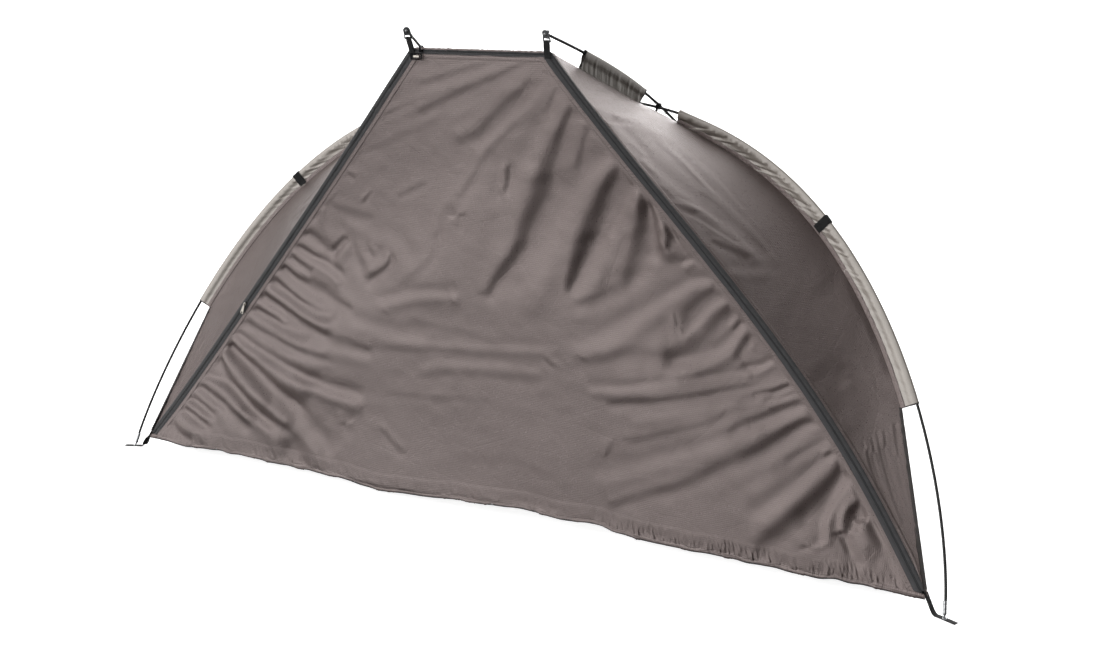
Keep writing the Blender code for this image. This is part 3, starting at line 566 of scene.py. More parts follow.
# seams shared by two panels take the mean place of both, so that the sheet is one
left_side, left_rear, right_side, right_rear, back, roof = panels
for first, second in (
    (left_side[:, -1], left_rear[:, 0]),
    (right_side[:, -1], right_rear[:, 0]),
    (left_rear[:, -1], back[:, 0]),
    (right_rear[:, -1], back[:, -1]),
    (left_side[-1, :], roof[:, 0]),
    (right_side[-1, :], roof[:, -1]),
    (back[-1, :], roof[-1, :]),
):
    first[:] = second[:] = (first + second) / 2
crossing = right_side[-1, -1].copy()
for panel, rear, end, side in ((left_side, left_rear, 0, -1), (right_side, right_rear, -1, 1)):
    place = mirrored(crossing, side)
    panel[-1, -1] = rear[-1, 0] = rear[-1, -1] = back[-1, end] = roof[-1, end] = place
pieces = [cloth_mesh(f"canopy_panel_{i}", panel, TAUPE) for i, panel in enumerate(panels)]
canopy = joined("canopy_cloth", pieces)
weld = canopy.modifiers.new("Sewn", "WELD")
weld.merge_threshold = 0.00005
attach(canopy, "shelter")
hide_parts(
    "side_panel_left", "side_panel_right", "roof_panel", "rear_panel",
    "rear_side_panel_left", "rear_side_panel_right",
)

# The front panel: one trapezoid of the same taffeta, zipped in on three sides and sewn to the groundsheet
# along its hem. Its edges bow back with the zips, but its middle hangs nearly straight, up to 64 mm in
# front of their bow. Swags fall from both zips and steep folds from the top corners, finely crumpled.
EDGE_INSETS = np.array([0.0190, 0.0230, 0.0270, 0.0310, 0.0350])
TOP_INSET = 0.0108
DOOR_COLUMNS = 418
DOOR_ROWS = 216
DOOR_LOW = 0.0030
FOLD_SLOPE = 0.37
FOLD_SPREAD = 0.90
SLACK = 0.85
# Each fold's flank that turns to the light (+) or away from it (-): its strength, its half widths at both
# ends in mm, and the points of its middle line in mm across from the panel's middle and up from the hem.
FOLDS = (
    (-0.81, 7, 15, (139, 1148), (57, 1112), (-29, 1078), (-118, 1040), (-180, 1010)),
    (-0.51, 7, 10, (44, 1143), (-26, 1126), (-114, 1099), (-173, 1082)),
    (-0.40, 12, 6, (-72, 1076), (-177, 1043), (-293, 997)),
    (-0.29, 19, 5, (-101, 1006), (-185, 967), (-248, 945), (-313, 916), (-389, 890)),
    (-0.67, 12, 20, (143, 1103), (104, 1069), (61, 1036), (22, 1002), (-21, 965), (-75, 940)),
    (-0.43, 10, 13, (94, 998), (52, 959), (5, 909), (-25, 864), (-65, 805)),
    (-0.68, 7, 10, (218, 1097), (193, 1060), (180, 1027)),
    (+0.48, 10, 17, (178, 1095), (135, 1044), (83, 1005), (48, 974), (-19, 925)),
    (+0.32, 12, 17, (97, 1097), (40, 1069), (-32, 1036), (-123, 990)),
    (+0.20, 10, 15, (30, 1128), (-57, 1092), (-146, 1059), (-240, 1010)),
    (-0.38, 15, 16, (-18, 870), (-58, 821), (-118, 751), (-153, 694)),
    (-0.60, 16, 14, (-94, 787), (-73, 754), (-84, 725)),
    (-0.55, 12, 16, (-129, 723), (-142, 682), (-151, 649), (-181, 616), (-250, 560)),
    (-1.07, 11, 11, (69, 893), (69, 856), (58, 824)),
    (+0.40, 9, 12, (50, 897), (49, 854), (54, 809)),
    (-0.95, 10, 31, (250, 1046), (218, 988), (187, 918), (164, 862)),
    (-1.03, 34, 16, (170, 873), (147, 811), (120, 753), (100, 692), (56, 632), (9, 559)),
    (+0.80, 24, 39, (330, 922), (274, 858), (233, 793), (196, 714), (151, 632), (105, 561)),
    (+0.39, 15, 31, (216, 1059), (181, 998), (142, 935), (100, 863), (55, 791)),
    (-0.67, 10, 13, (290, 1006), (275, 967), (263, 930), (253, 900)),
    (-0.94, 17, 28, (366, 910), (335, 862), (306, 799), (276, 726)),
    (-0.96, 28, 13, (279, 734), (257, 668), (239, 595)),
    (+0.87, 19, 25, (405, 865), (380, 817), (352, 758), (320, 695), (289, 633), (258, 589)),
    (-0.50, 6, 6, (370, 821), (348, 782), (327, 736)),
    (-1.00, 13, 25, (423, 845), (418, 796), (409, 733), (394, 677), (372, 640)),
    (-0.47, 19, 15, (431, 681), (388, 631), (329, 597), (260, 571)),
    (+1.80, 13, 21, (445, 820), (456, 775), (463, 724), (470, 690)),
    (-1.52, 10, 10, (482, 774), (488, 746), (483, 718)),
    (-0.60, 8, 8, (524, 734), (538, 709)),
    (+1.26, 8, 8, (494, 756), (506, 728)),
    (+1.68, 7, 9, (548, 695), (520, 678)),
    (+0.97, 10, 19, (596, 651), (553, 639), (520, 618), (489, 595)),
    (+0.66, 19, 33, (489, 595), (448, 562), (403, 524), (342, 481), (274, 449)),
    (-0.66, 9, 22, (601, 630), (566, 604), (538, 571), (521, 531)),
    (+0.86, 12, 6, (626, 608), (596, 585), (574, 555), (554, 533), (532, 505)),
    (-0.95, 5, 5, (505, 564), (516, 528), (529, 507)),
    (-0.74, 14, 27, (641, 595), (614, 560), (580, 516), (540, 486), (484, 456)),
    (-0.56, 23, 20, (484, 461), (410, 464), (335, 444), (269, 420)),
    (+1.24, 7, 7, (653, 570), (637, 543)),
    (-0.92, 6, 6, (668, 562), (647, 534)),
    (+1.19, 12, 22, (681, 556), (662, 527), (643, 500), (617, 471), (567, 447), (506, 426)),
    (-0.65, 8, 10, (684, 534), (670, 501), (659, 467)),
    (+1.25, 7, 7, (697, 519), (693, 494)),
    (+1.80, 7, 10, (754, 475), (721, 451), (683, 438)),
    (+0.75, 8, 13, (697, 441), (619, 420), (518, 395), (413, 370), (305, 350)),
    (-1.01, 8, 15, (723, 415), (645, 396), (570, 373), (468, 348), (356, 327)),
    (-1.50, 7, 7, (805, 431), (756, 405), (707, 393)),
    (+1.80, 6, 6, (812, 421), (782, 404), (754, 388)),
    (+1.80, 6, 7, (818, 405), (781, 385), (741, 369)),
    (+0.53, 10, 17, (733, 375), (623, 351), (522, 319), (418, 290)),
    (-0.56, 9, 15, (652, 336), (613, 310), (551, 286), (487, 259), (410, 229)),
    (-0.57, 9, 12, (827, 387), (783, 365), (736, 341), (688, 319), (660, 288)),
    (+1.09, 12, 14, (849, 378), (810, 358), (763, 329), (714, 302)),
    (+0.51, 16, 29, (714, 302), (654, 268), (597, 234), (522, 203), (431, 158), (327, 114)),
    (-1.00, 9, 21, (862, 351), (826, 336), (787, 306), (741, 270), (695, 238)),
    (-0.74, 21, 12, (695, 238), (641, 203), (589, 165), (540, 136), (478, 111), (370, 54)),
    (+0.50, 9, 18, (875, 339), (848, 323), (824, 300), (791, 266), (753, 229)),
    (-0.55, 8, 9, (891, 316), (862, 294), (829, 268), (800, 246)),
    (+0.24, 9, 28, (902, 305), (869, 276), (829, 246), (785, 206), (736, 162), (683, 127)),
    (-1.74, 6, 6, (915, 289), (886, 265)),
    (+0.84, 9, 27, (918, 275), (888, 249), (861, 216), (836, 184), (793, 135), (743, 91)),
    (-1.15, 11, 25, (927, 260), (914, 226), (892, 192), (868, 157), (841, 121)),
    (-0.79, 25, 20, (841, 121), (812, 88), (780, 59), (752, 34)),
    (+1.25, 18, 12, (958, 233), (946, 208), (931, 178), (919, 146), (909, 110), (911, 68)),
    (-1.00, 6, 8, (954, 198), (931, 162), (923, 129), (922, 106)),
    (+1.00, 7, 7, (970, 182), (950, 158), (942, 127), (950, 86), (969, 55)),
    (-1.26, 11, 18, (979, 182), (962, 156), (960, 117), (971, 86)),
    (-1.20, 18, 16, (971, 86), (989, 60), (1008, 38)),
    (+1.80, 16, 23, (995, 169), (1012, 124), (1040, 85)),
    (-0.80, 9, 11, (1064, 60), (1078, 39), (1103, 24)),
    (+0.34, 9, 9, (1027, 83), (1021, 56), (1033, 36)),
    (+0.50, 14, 19, (848, 90), (879, 73), (890, 49)),
    (-0.82, 9, 9, (182, 418), (211, 396)),
    (-0.50, 8, 8, (277, 434), (305, 427)),
    (+0.40, 8, 8, (208, 419), (236, 402)),
    (+0.30, 11, 13, (-359, 403), (-167, 413), (16, 426), (218, 447)),
    (-0.30, 11, 10, (-359, 370), (-167, 392), (16, 405), (179, 421)),
    (-0.30, 14, 14, (-213, 468), (-105, 456), (-8, 452)),
    (-0.26, 13, 13, (-196, 317), (-12, 345), (164, 353)),
    (+0.48, 14, 13, (-166, 353), (17, 375), (169, 383)),
    (-0.25, 11, 10, (-289, 249), (-130, 261), (21, 278)),
    (-0.59, 9, 9, (-101, 568), (-87, 532)),
    (-0.50, 8, 8, (-320, 497), (-283, 473)),
    (+1.00, 16, 16, (-71, 555), (-195, 541), (-324, 499)),
    (-0.30, 7, 7, (219, 224), (244, 203)),
    (-0.60, 10, 10, (375, 224), (353, 178)),
    (-0.13, 15, 15, (-52, 110), (68, 119), (171, 116)),
    (-0.44, 12, 14, (-515, 754), (-464, 741), (-407, 732), (-349, 731)),
    (+1.09, 12, 18, (-524, 739), (-546, 698)),
    (+0.28, 15, 26, (-452, 709), (-357, 684), (-273, 670), (-221, 615)),
    (-1.07, 9, 9, (-427, 842), (-400, 828)),
    (-0.88, 7, 7, (-351, 794), (-384, 761)),
    (-0.62, 10, 10, (-176, 833), (-227, 808), (-266, 789)),
    (-0.50, 8, 8, (-465, 779), (-502, 755)),
    (+0.09, 13, 16, (-453, 824), (-418, 794), (-394, 779)),
    (-0.82, 16, 29, (-590, 674), (-548, 656), (-514, 636), (-485, 619)),
    (-0.74, 8, 11, (-444, 665), (-469, 646), (-506, 615)),
    (+0.77, 12, 12, (-597, 648), (-565, 632), (-536, 614)),
    (-0.95, 10, 12, (-617, 627), (-564, 603), (-512, 589)),
    (+1.54, 14, 20, (-439, 649), (-461, 627), (-488, 597)),
    (-0.75, 14, 17, (-413, 649), (-394, 611), (-360, 581)),
    (-0.99, 10, 10, (-365, 645), (-347, 624)),
    (+0.35, 8, 11, (-306, 650), (-338, 614), (-369, 594)),
    (-1.80, 9, 16, (-289, 636), (-297, 610), (-331, 582), (-372, 558)),
    (+0.40, 13, 16, (-409, 585), (-385, 565)),
    (-0.60, 9, 9, (-436, 582), (-448, 550)),
    (+1.80, 10, 13, (-639, 616), (-600, 594), (-550, 579), (-501, 564), (-455, 546)),
    (-0.90, 10, 13, (-648, 592), (-616, 572), (-566, 557)),
    (+0.85, 10, 11, (-660, 577), (-621, 555), (-578, 536)),
    (-1.06, 14, 24, (-683, 563), (-633, 533), (-568, 529), (-504, 513)),
    (-0.95, 26, 12, (-504, 513), (-459, 492), (-410, 475)),
    (+1.42, 14, 18, (-695, 544), (-665, 524), (-625, 502), (-575, 482), (-524, 471)),
    (+0.70, 18, 25, (-524, 471), (-457, 453), (-385, 433), (-287, 420), (-167, 419)),
    (-0.90, 12, 9, (-718, 524), (-682, 499), (-627, 473), (-586, 461)),
    (+1.80, 15, 17, (-745, 501), (-697, 480), (-645, 463), (-594, 446), (-532, 433), (-471, 431)),
    (-1.80, 13, 18, (-765, 478), (-699, 451), (-629, 427), (-560, 409), (-486, 393)),
    (-0.80, 18, 12, (-486, 393), (-418, 382), (-346, 368)),
    (+1.67, 10, 12, (-774, 448), (-736, 432), (-693, 419), (-662, 403)),
    (-0.67, 10, 9, (-790, 426), (-726, 404), (-659, 386)),
    (+1.80, 13, 18, (-816, 411), (-755, 392), (-694, 382), (-631, 369), (-561, 361)),
    (+0.60, 18, 14, (-561, 361), (-486, 350), (-418, 345), (-342, 341)),
    (-0.60, 10, 12, (-832, 380), (-756, 360), (-666, 345), (-578, 333), (-485, 325)),
    (+0.50, 9, 11, (-818, 358), (-702, 334), (-630, 320), (-560, 310), (-467, 302)),
    (-0.95, 13, 20, (-862, 346), (-803, 324), (-737, 307), (-665, 293), (-590, 280), (-517, 267)),
    (+1.20, 13, 18, (-862, 332), (-810, 309), (-737, 289), (-664, 270), (-606, 252)),
    (+1.80, 18, 22, (-606, 252), (-550, 238), (-480, 225), (-378, 215)),
    (-1.80, 17, 26, (-888, 311), (-813, 277), (-742, 254), (-683, 228), (-624, 202), (-566, 185)),
    (+1.80, 18, 25, (-899, 295), (-864, 267), (-807, 237), (-750, 207), (-693, 178)),
    (+1.17, 25, 33, (-693, 178), (-642, 149), (-592, 115), (-537, 79), (-496, 48)),
    (-1.80, 18, 28, (-917, 269), (-885, 229), (-841, 197), (-782, 168), (-723, 137)),
    (-1.80, 27, 17, (-723, 137), (-666, 115), (-621, 99)),
    (-1.39, 34, 40, (-624, 96), (-638, 56), (-652, 24)),
    (+1.80, 12, 19, (-965, 195), (-915, 187), (-857, 172), (-817, 152), (-777, 126)),
    (+1.53, 19, 15, (-777, 126), (-733, 105), (-683, 85)),
    (-1.51, 12, 19, (-994, 176), (-930, 156), (-871, 136), (-811, 110), (-766, 83)),
    (+1.05, 9, 12, (-1019, 161), (-968, 148), (-923, 131), (-868, 113)),
    (-1.29, 9, 9, (-1024, 140), (-972, 124), (-911, 101)),
    (+1.80, 11, 12, (-1034, 124), (-988, 108), (-947, 91), (-906, 77)),
    (-1.52, 9, 11, (-1042, 106), (-993, 90), (-935, 67)),
    (+1.44, 12, 18, (-1067, 88), (-1013, 72), (-959, 52), (-925, 40)),
    (-1.80, 13, 17, (-1094, 66), (-1045, 39), (-983, 23)),
    (+0.32, 15, 14, (-861, 75), (-802, 58), (-752, 49)),
    (+0.56, 9, 9, (-975, 217), (-925, 218)),
    (+0.25, 9, 9, (-973, 200), (-927, 235)),
    (-0.90, 9, 12, (-315, 151), (-282, 124), (-242, 96)),
    (-0.40, 17, 15, (-427, 175), (-427, 142), (-402, 129)),
    (+0.40, 14, 13, (-461, 170), (-455, 127)),
    (+0.50, 7, 6, (-625, 182), (-594, 156)),
    (-0.50, 8, 8, (-608, 187), (-574, 161)),
)


def hem_wave(x):
    """The hem's own waviness: how far its edge lies above the straight line between the corners."""
    wave = 0.015 * np.exp(-(((x - 0.20) / 0.24) ** 2)) - 0.008 * np.exp(-(((x + 0.33) / 0.20) ** 2))
    wave += 0.0030 * ripple(x / 0.11, x * 0, 21) + 0.0012 * ripple(x / 0.035, x * 0, 22)
    return wave * (1 - soft_step(np.abs(x), HEM_HALF - 0.16, HEM_HALF - 0.02))


def puckered(along, depth, reach, pitch, seed):
    """Short gathers square to a seam, fading over their reach."""
    fade = np.exp(-np.maximum(depth, 0) / reach)
    waves = ripple(along / pitch, depth / (4 * pitch), seed)
    waves += 0.6 * ripple(along / pitch * 2.1, depth / (3 * pitch), seed + 1)
    return waves * fade * fade.clip(0, 1)


high = PANEL_HEIGHT - TOP_INSET
door_v = np.linspace(DOOR_LOW, high, DOOR_ROWS + 1)
edge = slant_x(door_v[:, None], EDGE_INSETS[None, :])
u = np.linspace(-1, 1, DOOR_COLUMNS + 1)
u = (u + 0.10 * np.sin(math.pi * u) / math.pi)[None, 1:-1]
x = np.hstack([-edge, u * edge[:, -1:], edge[:, ::-1]])
v = door_v[:, None] + np.zeros(x.shape)
to_zip = (edge[:, :1] - np.abs(x)) / math.hypot(1, SPLAY)
to_top = high - v
up_zip = v * math.hypot(1, SPLAY)
rise = folded(x, v, FOLDS, LIGHT_FROM, FOLD_SLOPE, FOLD_SPREAD)
rise += 0.0016 * puckered(up_zip + (x > 0) * 3.0, to_zip, 0.030, 0.020, 31)
rise += 0.0012 * puckered(x, to_top, 0.020, 0.016, 33)
rise += 0.0018 * puckered(x + v * 0.4, v, 0.030, 0.017, 35)
small = 0.0005 * ripple(x / 0.035, v / 0.03, 38)
rise += 0.0013 * ripple(x / 0.16 + v / 0.30, v / 0.10 - x / 0.4, 37) + small
rise *= soft_step(to_zip, 0.006, 0.026) * soft_step(to_top, 0.006, 0.024) * soft_step(v, 0.002, 0.012)
rise += SLACK * BOW * bowed(v) * soft_step(to_zip / (0.16 + 0.45 * v), 0.03, 1.0)
edge_of_hem = hem_wave(x) * (1 - soft_step(v, 0.0, 0.20))
door_grid = on_front(x, v + edge_of_hem, rise + MID_CLOTH)
door = cloth_mesh("front_panel_cloth", door_grid, TAUPE, cut=np.stack([x, v], axis=-1))
HINGE_START, HINGE_END = (0, HEM_Y, HEM_LIFT), tuple(on_front(0.0, 0.060))
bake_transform(door)
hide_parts("front_panel")


def on_door(v, column):
    """Points of the front panel at height v of its cut and at a fractional column of its grid."""
    return on_grid(door_grid, np.interp(v, door_v, np.arange(DOOR_ROWS + 1)), column)


# along the hem the panel is drawn up by its stitching into small upright gathers
column = np.linspace(2.0, x.shape[1] - 3.0, 1040)[None, :]
v = np.linspace(0.0035, 0.046, 17)[:, None]
base = on_door(v, column)
far = base[..., 0]
rough = 0.35 + 0.65 * soft_step(np.abs(far - 0.62), 0.45, 0.10) + 0.3 * ripple(far / 0.12, 0 * far, 25)
waves = ripple(far / 0.0046 + v / 0.012, v / 0.030, 23)
waves += 0.5 * ripple(far / 0.0023 - v / 0.02, v / 0.020, 24)
strip = 0.0014 * waves * rough.clip(0.25, 1.3) * (1 - soft_step(v, 0.010, 0.044))
strip = strip + 0.0011 - 0.0016 * soft_step(v, 0.030, 0.046)
hem_gathers = cloth_mesh("front_panel_hem_gathers", raised(base, strip), TAUPE)
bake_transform(hem_gathers)

# The zip: a number 5 coil zip that runs up the left edge, along the top and down the right edge. Each
# half is a charcoal woven polyester tape, lockstitched to a turned edge of taffeta that puckers between
# the stitches; the roof's edge rolls over the top run. Its 1.5 mm monofilament coils are drawn at 3 mm.
CANOPY_TAPE = (-0.0050, -0.0034, -0.0018, -0.0008, 0.0, 0.0008, 0.0018, 0.0034, 0.0050)
CHAIN = (0.0046, 0.0100)
DOOR_TAPE = (0.0096, 0.0200)
TAPE_LIFT = 0.0022
TOP_ROLL = 0.62
COIL_PITCH = 0.0030
COIL_R = 0.0019
TURNED_W = 0.0120
PUCKER = 0.0076


def woven_tape(name, light, deep, pitch, roughness, sheen=0.10):
    """Narrow woven tape: ribs across it and a herringbone of fine threads, matt with a faint edge sheen."""
    material, tree, shader = new_material(name, roughness, Sheen_Weight=sheen, Sheen_Roughness=0.5, IOR=1.52)
    cut = node(tree, "UVMap", uv_map="cut")
    twill = node(tree, "Mapping", {"Vector": cut, "Rotation": (0.0, 0.0, math.radians(40))})
    across = {"Vector": cut, "Scale": WAVE_UNIT / pitch, "Distortion": 0.4}
    ribs = node(tree, "TexWave", across, "Fac", bands_direction="Y")
    threads = {"Vector": twill, "Scale": WAVE_UNIT / pitch * 1.6, "Distortion": 0.2}
    fine = node(tree, "TexWave", threads, "Fac")
    wear = node(tree, "TexNoise", {"Vector": cut, "Scale": 55.0, "Detail": 4.0})
    mixed = node(tree, "Math", {0: ribs, 1: fine}, operation="ADD")
    tone = node(tree, "Math", {0: mixed, 1: 0.34, 2: wear}, operation="MULTIPLY_ADD")
    tone = node(tree, "MapRange", {"Value": tone, "From Min": 0.3})
    node(tree, "ValToRGB", {"Fac": tone}, ramp=((0, deep), (1, light)), to=shader.inputs["Base Color"])
    node(tree, "Bump", {"Height": mixed, "Distance": 0.0004, "Strength": 0.7}, to=shader.inputs["Normal"])
    return material


CHARCOAL_TAPE = woven_tape("charcoal_zip_tape", "#3C3B3D", "#282729", 0.0016, 0.60)
COIL = woven_tape("black_nylon_coil", "#1E1F21", "#0E0F10", 0.0030, 0.50)


def border(inset, count_up, count_top):
    """The line inset from the opening's edge: up the left, along the top and down the right, as (x, v)."""
    top = PANEL_HEIGHT - inset * TOP_ROLL
    v = np.linspace(0.006, top, count_up)
    right = np.stack([slant_x(v, inset), v], axis=1)
    across = np.linspace(-1, 1, count_top)[1:-1] * slant_x(top, inset)
    return np.vstack([right * [-1, 1], np.stack([across, across * 0 + top], axis=1), right[::-1]])


def edge_strip(name, first, last, columns, lift, material, rise, count_up=300, count_top=80):
    """A strip along the zip between two insets from the opening's edge."""
    insets = np.linspace(first, last, columns + 1)
    lines = np.stack([border(i, count_up, count_top) for i in insets], axis=1)
    far = lengths(lines[:, columns // 2])[:, None] + np.zeros(columns + 1)
    share = np.zeros(far.shape) + (insets - first) / (last - first)
    grid = on_front(lines[..., 0], lines[..., 1], lift + rise(far, share))
    return cloth_mesh(name, grid, material, cut=np.stack([insets + far * 0, far], axis=-1))


def cupped(far, share):
    return 0.0006 * np.sin(math.pi * share) + 0.0003 * ripple(far / 0.05, share, 41)


def coils(far, share):
    """Two rows of coil, side by side, with their turns staggered."""
    row = np.floor(share * 1.999)
    dome = np.sqrt(np.clip(1 - ((share * 2 - row) * 2 - 1) ** 2, 0, 1))
    turns = 0.72 + 0.28 * np.cos(2 * math.pi * (far / COIL_PITCH + 0.5 * row))
    return COIL_R * dome * turns


def gathers(far, share, seed):
    """The turned edge of the taffeta, drawn up between its stitches and closed down at both sides."""
    stitch = np.exp(-(((share - 0.30) / 0.10) ** 2))
    turn = far / PUCKER + 0.7 * ripple(far / 0.030, share * 0.7, seed)
    waves = np.cos(2 * math.pi * turn) * (0.7 + 0.3 * ripple(far / 0.016, share, seed + 1))
    waves *= 0.35 + 0.65 * share
    body = soft_step(share, 0.0, 0.10) * (1 - soft_step(share, 0.86, 1.0))
    return (0.0012 + 0.0005 * waves - 0.0006 * stitch) * body - 0.0005 * soft_step(share, 0.90, 1.0)


door_tape = edge_strip("zip_tape_door", *DOOR_TAPE, 6, TAPE_LIFT, CHARCOAL_TAPE, cupped)
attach(door_tape, "door")
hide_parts("front_panel_zip_tape_left", "front_panel_zip_tape_right", "front_panel_zip_tape_top")
chain = edge_strip("zip_chain", *CHAIN, 8, TAPE_LIFT - 0.0004, COIL, coils, 2000, 520)
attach(chain, "shelter")

LONG, SHORT = 1000, 260
CANOPY_TURNED = (0.0042, 0.0155)
side_panels = {-1: left_side, 1: right_side}
rows_along = np.linspace(2.0, EDGE_STEPS, LONG)[:, None]
v_along, width_along, far_along = (
    np.interp(rows_along, np.arange(EDGE_STEPS + 1), known)
    for known in (zip_v, panel_width, lengths(zip_line))
)
last_column = door_grid.shape[1] - 1
share = np.linspace(0, 1, 10)[None, :]
tape_parts, door_parts = [], []
for side_word, side in SIDES:
    # the canopy's half of the tape, bent round the corner
    d = np.tile(CANOPY_TAPE, (LONG, 1))
    shrink = np.minimum(1.0, 0.5 * width_along / -CANOPY_TAPE[0])
    column = np.maximum(-d, 0) * shrink / width_along * SIDE_COLUMNS
    behind = on_grid(side_panels[side], rows_along, column)
    behind = behind + outward(behind)[:, :1] * 0.0012
    v = np.minimum(v_along, PANEL_HEIGHT - 0.0002) + 0 * d
    ahead = on_front(slant_x(v, d) * side, v, TAPE_LIFT)
    grid = np.where(d[..., None] < 0, behind, ahead)
    middle = len(CANOPY_TAPE) // 2
    grid[:, middle] = (grid[:, middle - 1] + grid[:, middle + 1]) / 2
    cut = np.stack([d, far_along + 0 * d], axis=-1)
    tape_parts.append(cloth_mesh("tape_part", grid, CHARCOAL_TAPE, cut=cut))
    # the canopy's turned edge, on the side panel behind the tape
    near, reach = CANOPY_TURNED[0], CANOPY_TURNED[1]
    d = (near + (reach - near) * share) * np.minimum(1.0, 0.5 * width_along / reach)
    base = on_grid(side_panels[side], rows_along, d / width_along * SIDE_COLUMNS)
    rise = gathers(far_along + side, share, 43)
    turned = cloth_mesh("canopy_turned_edge_" + side_word, raised(base, rise), TAUPE)
    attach(turned, "shelter")
    # the front panel's turned edge at the side
    v = np.linspace(0.010, high, LONG)[:, None]
    column = np.interp(EDGE_INSETS[0] + TURNED_W * share, EDGE_INSETS, np.arange(5.0))
    base = on_door(v, column if side < 0 else last_column - column)
    rise = gathers(v * math.hypot(1, SPLAY) + 2 * side, share, 45)
    door_parts.append(cloth_mesh("edge_part", raised(base, rise), TAUPE))
d = np.array([0.0002, 0.0014, 0.0032, 0.0050])
x = np.linspace(-1, 1, SHORT)[:, None] * slant_x(PANEL_HEIGHT - d, d)[None, :]
v = np.tile(PANEL_HEIGHT - d * TOP_ROLL, (SHORT, 1))
cut = np.stack([v, x], axis=-1)
tape_parts.append(cloth_mesh("tape_part", on_front(x, v, TAPE_LIFT), CHARCOAL_TAPE, cut=cut))
tape = joined("zip_tape_canopy", tape_parts)
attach(tape, "shelter")
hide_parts("canopy_zip_tape_left", "canopy_zip_tape_right", "canopy_zip_tape_top")
column = np.linspace(0.0, last_column, SHORT)[:, None]
base = on_door(high - TURNED_W * share, column)
rise = gathers(base[..., 0], share, 47)
door_parts.append(cloth_mesh("edge_part", raised(base, rise - 0.0002), TAUPE))
turned = joined("front_panel_turned_edge", door_parts)
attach(turned, "door")

# the roof's turned edge rolls over the top of the zip: each line of it lies so far back and so far up
x = np.linspace(-TOP_HALF, TOP_HALF, SHORT)
profile = (
    (0.0100, 0.0004), (0.0060, 0.0014), (0.0020, 0.0018), (-0.0006, 0.0014), (-0.0022, 0.0002),
    (-0.0030, -0.0012), (-0.0032, -0.0024), (-0.0026, -0.0030),
)
roof_end = top_line[len(top_line) // 2]
roof_slope = (roof_end[2] - TOP_CORNER.z) / (roof_end[1] - TOP_CORNER.y)
rolled = []
for back_by, up_by in profile:
    waves = 0.0004 * ripple(x / 0.005, back_by * 200, 49)
    z = TOP_CORNER.z + up_by + roof_slope * max(back_by, 0) + MID_CLOTH + waves
    rolled.append(np.stack([x, TOP_CORNER.y + back_by - waves, z], axis=1))
turned = cloth_mesh("roof_turned_edge", np.swapaxes(rolled, 0, 1), TAUPE)
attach(turned, "shelter")

# The zip's two sliders, die-cast in zinc. The one part way up the left edge is nickel-plated and its
# stamped pull hangs from its bridge; the one parked at the top left corner is blackened, and its pull is
# a black frame that lies in the panel's corner, with a bare metal tongue in it.
SLIDER_W, SLIDER_L, SLIDER_H = 0.0085, 0.0110, 0.0042


def grained(name, light, deep, roughness, grain, bump, spread=None, stops=(0, 1), metallic=0.0, **fixed):
    """A hard material with a fine grain in its tone and its relief and, given a spread, its roughness."""
    material, tree, shader = new_material(name, roughness, metallic, **fixed)
    body = node(tree, "TexCoord", out="Object")
    scale, detail, falloff = grain
    speck = node(tree, "TexNoise", {"Vector": body, "Scale": scale, "Detail": detail, "Roughness": falloff})
    ramp = ((stops[0], deep), (stops[1], light))
    node(tree, "ValToRGB", {"Fac": speck}, ramp=ramp, to=shader.inputs["Base Color"])
    if spread:
        duller = {"Value": speck, "To Min": roughness + spread[0], "To Max": roughness + spread[1]}
        node(tree, "MapRange", duller, to=shader.inputs["Roughness"])
    relief = {"Height": speck, "Distance": bump[0], "Strength": bump[1]}
    node(tree, "Bump", relief, to=shader.inputs["Normal"])
    return material


# plating is mirror-like but finely scuffed, a little duller in its scratches
PLATING = {
    "grain": (900.0, 5.0, 0.7), "bump": (0.00008, 0.4), "spread": (-0.08, 0.15), "stops": (0.35, 0.65),
    "metallic": 1.0,
}
NICKEL = grained("nickel_plated_zinc", "#B7B2AA", "#8E8982", 0.34, **PLATING)
BLACKENED = grained("blackened_zinc", "#1B1B1C", "#0D0D0E", 0.42, **PLATING)


def slab(name, outlines, thickness, material, matrix, bevel):
    """A flat piece with softened edges, from closed outlines; all but the first are holes."""
    curve = bpy.data.curves.new(name, "CURVE")
    curve.dimensions = "2D"
    curve.fill_mode = "BOTH"
    curve.extrude = max(thickness / 2 - bevel, 0.00005)
    curve.bevel_depth = bevel
    curve.bevel_resolution = 3
    curve.offset = -bevel
    for outline in outlines:
        spline = curve.splines.new("POLY")
        spline.points.add(len(outline) - 1)
        spline.use_cyclic_u = True
        for spot, (px, py) in zip(spline.points, outline):
            spot.co = (px, py, 0, 1)
    stand = bpy.data.objects.new(name, curve)
    scene.collection.objects.link(stand)
    bpy.context.view_layer.update()
    mesh = bpy.data.meshes.new_from_object(stand.evaluated_get(bpy.context.evaluated_depsgraph_get()))
    bpy.data.objects.remove(stand)
    mesh.transform(matrix)
    mesh.materials.clear()
    piece = placed(name, mesh, material)
    mesh.set_sharp_from_angle(angle=math.radians(50))
    return piece


def arc(cx, cy, rx, ry, first, last, count):
    turns = [math.radians(a) for a in steps(first, last, count)]
    return [(cx + rx * math.cos(a), cy + ry * math.sin(a)) for a in turns]


def axes_matrix(origin, x_axis, y_axis, z_axis):
    matrix = Matrix((x_axis, y_axis, z_axis)).transposed().to_4x4()
    matrix.translation = origin
    return matrix


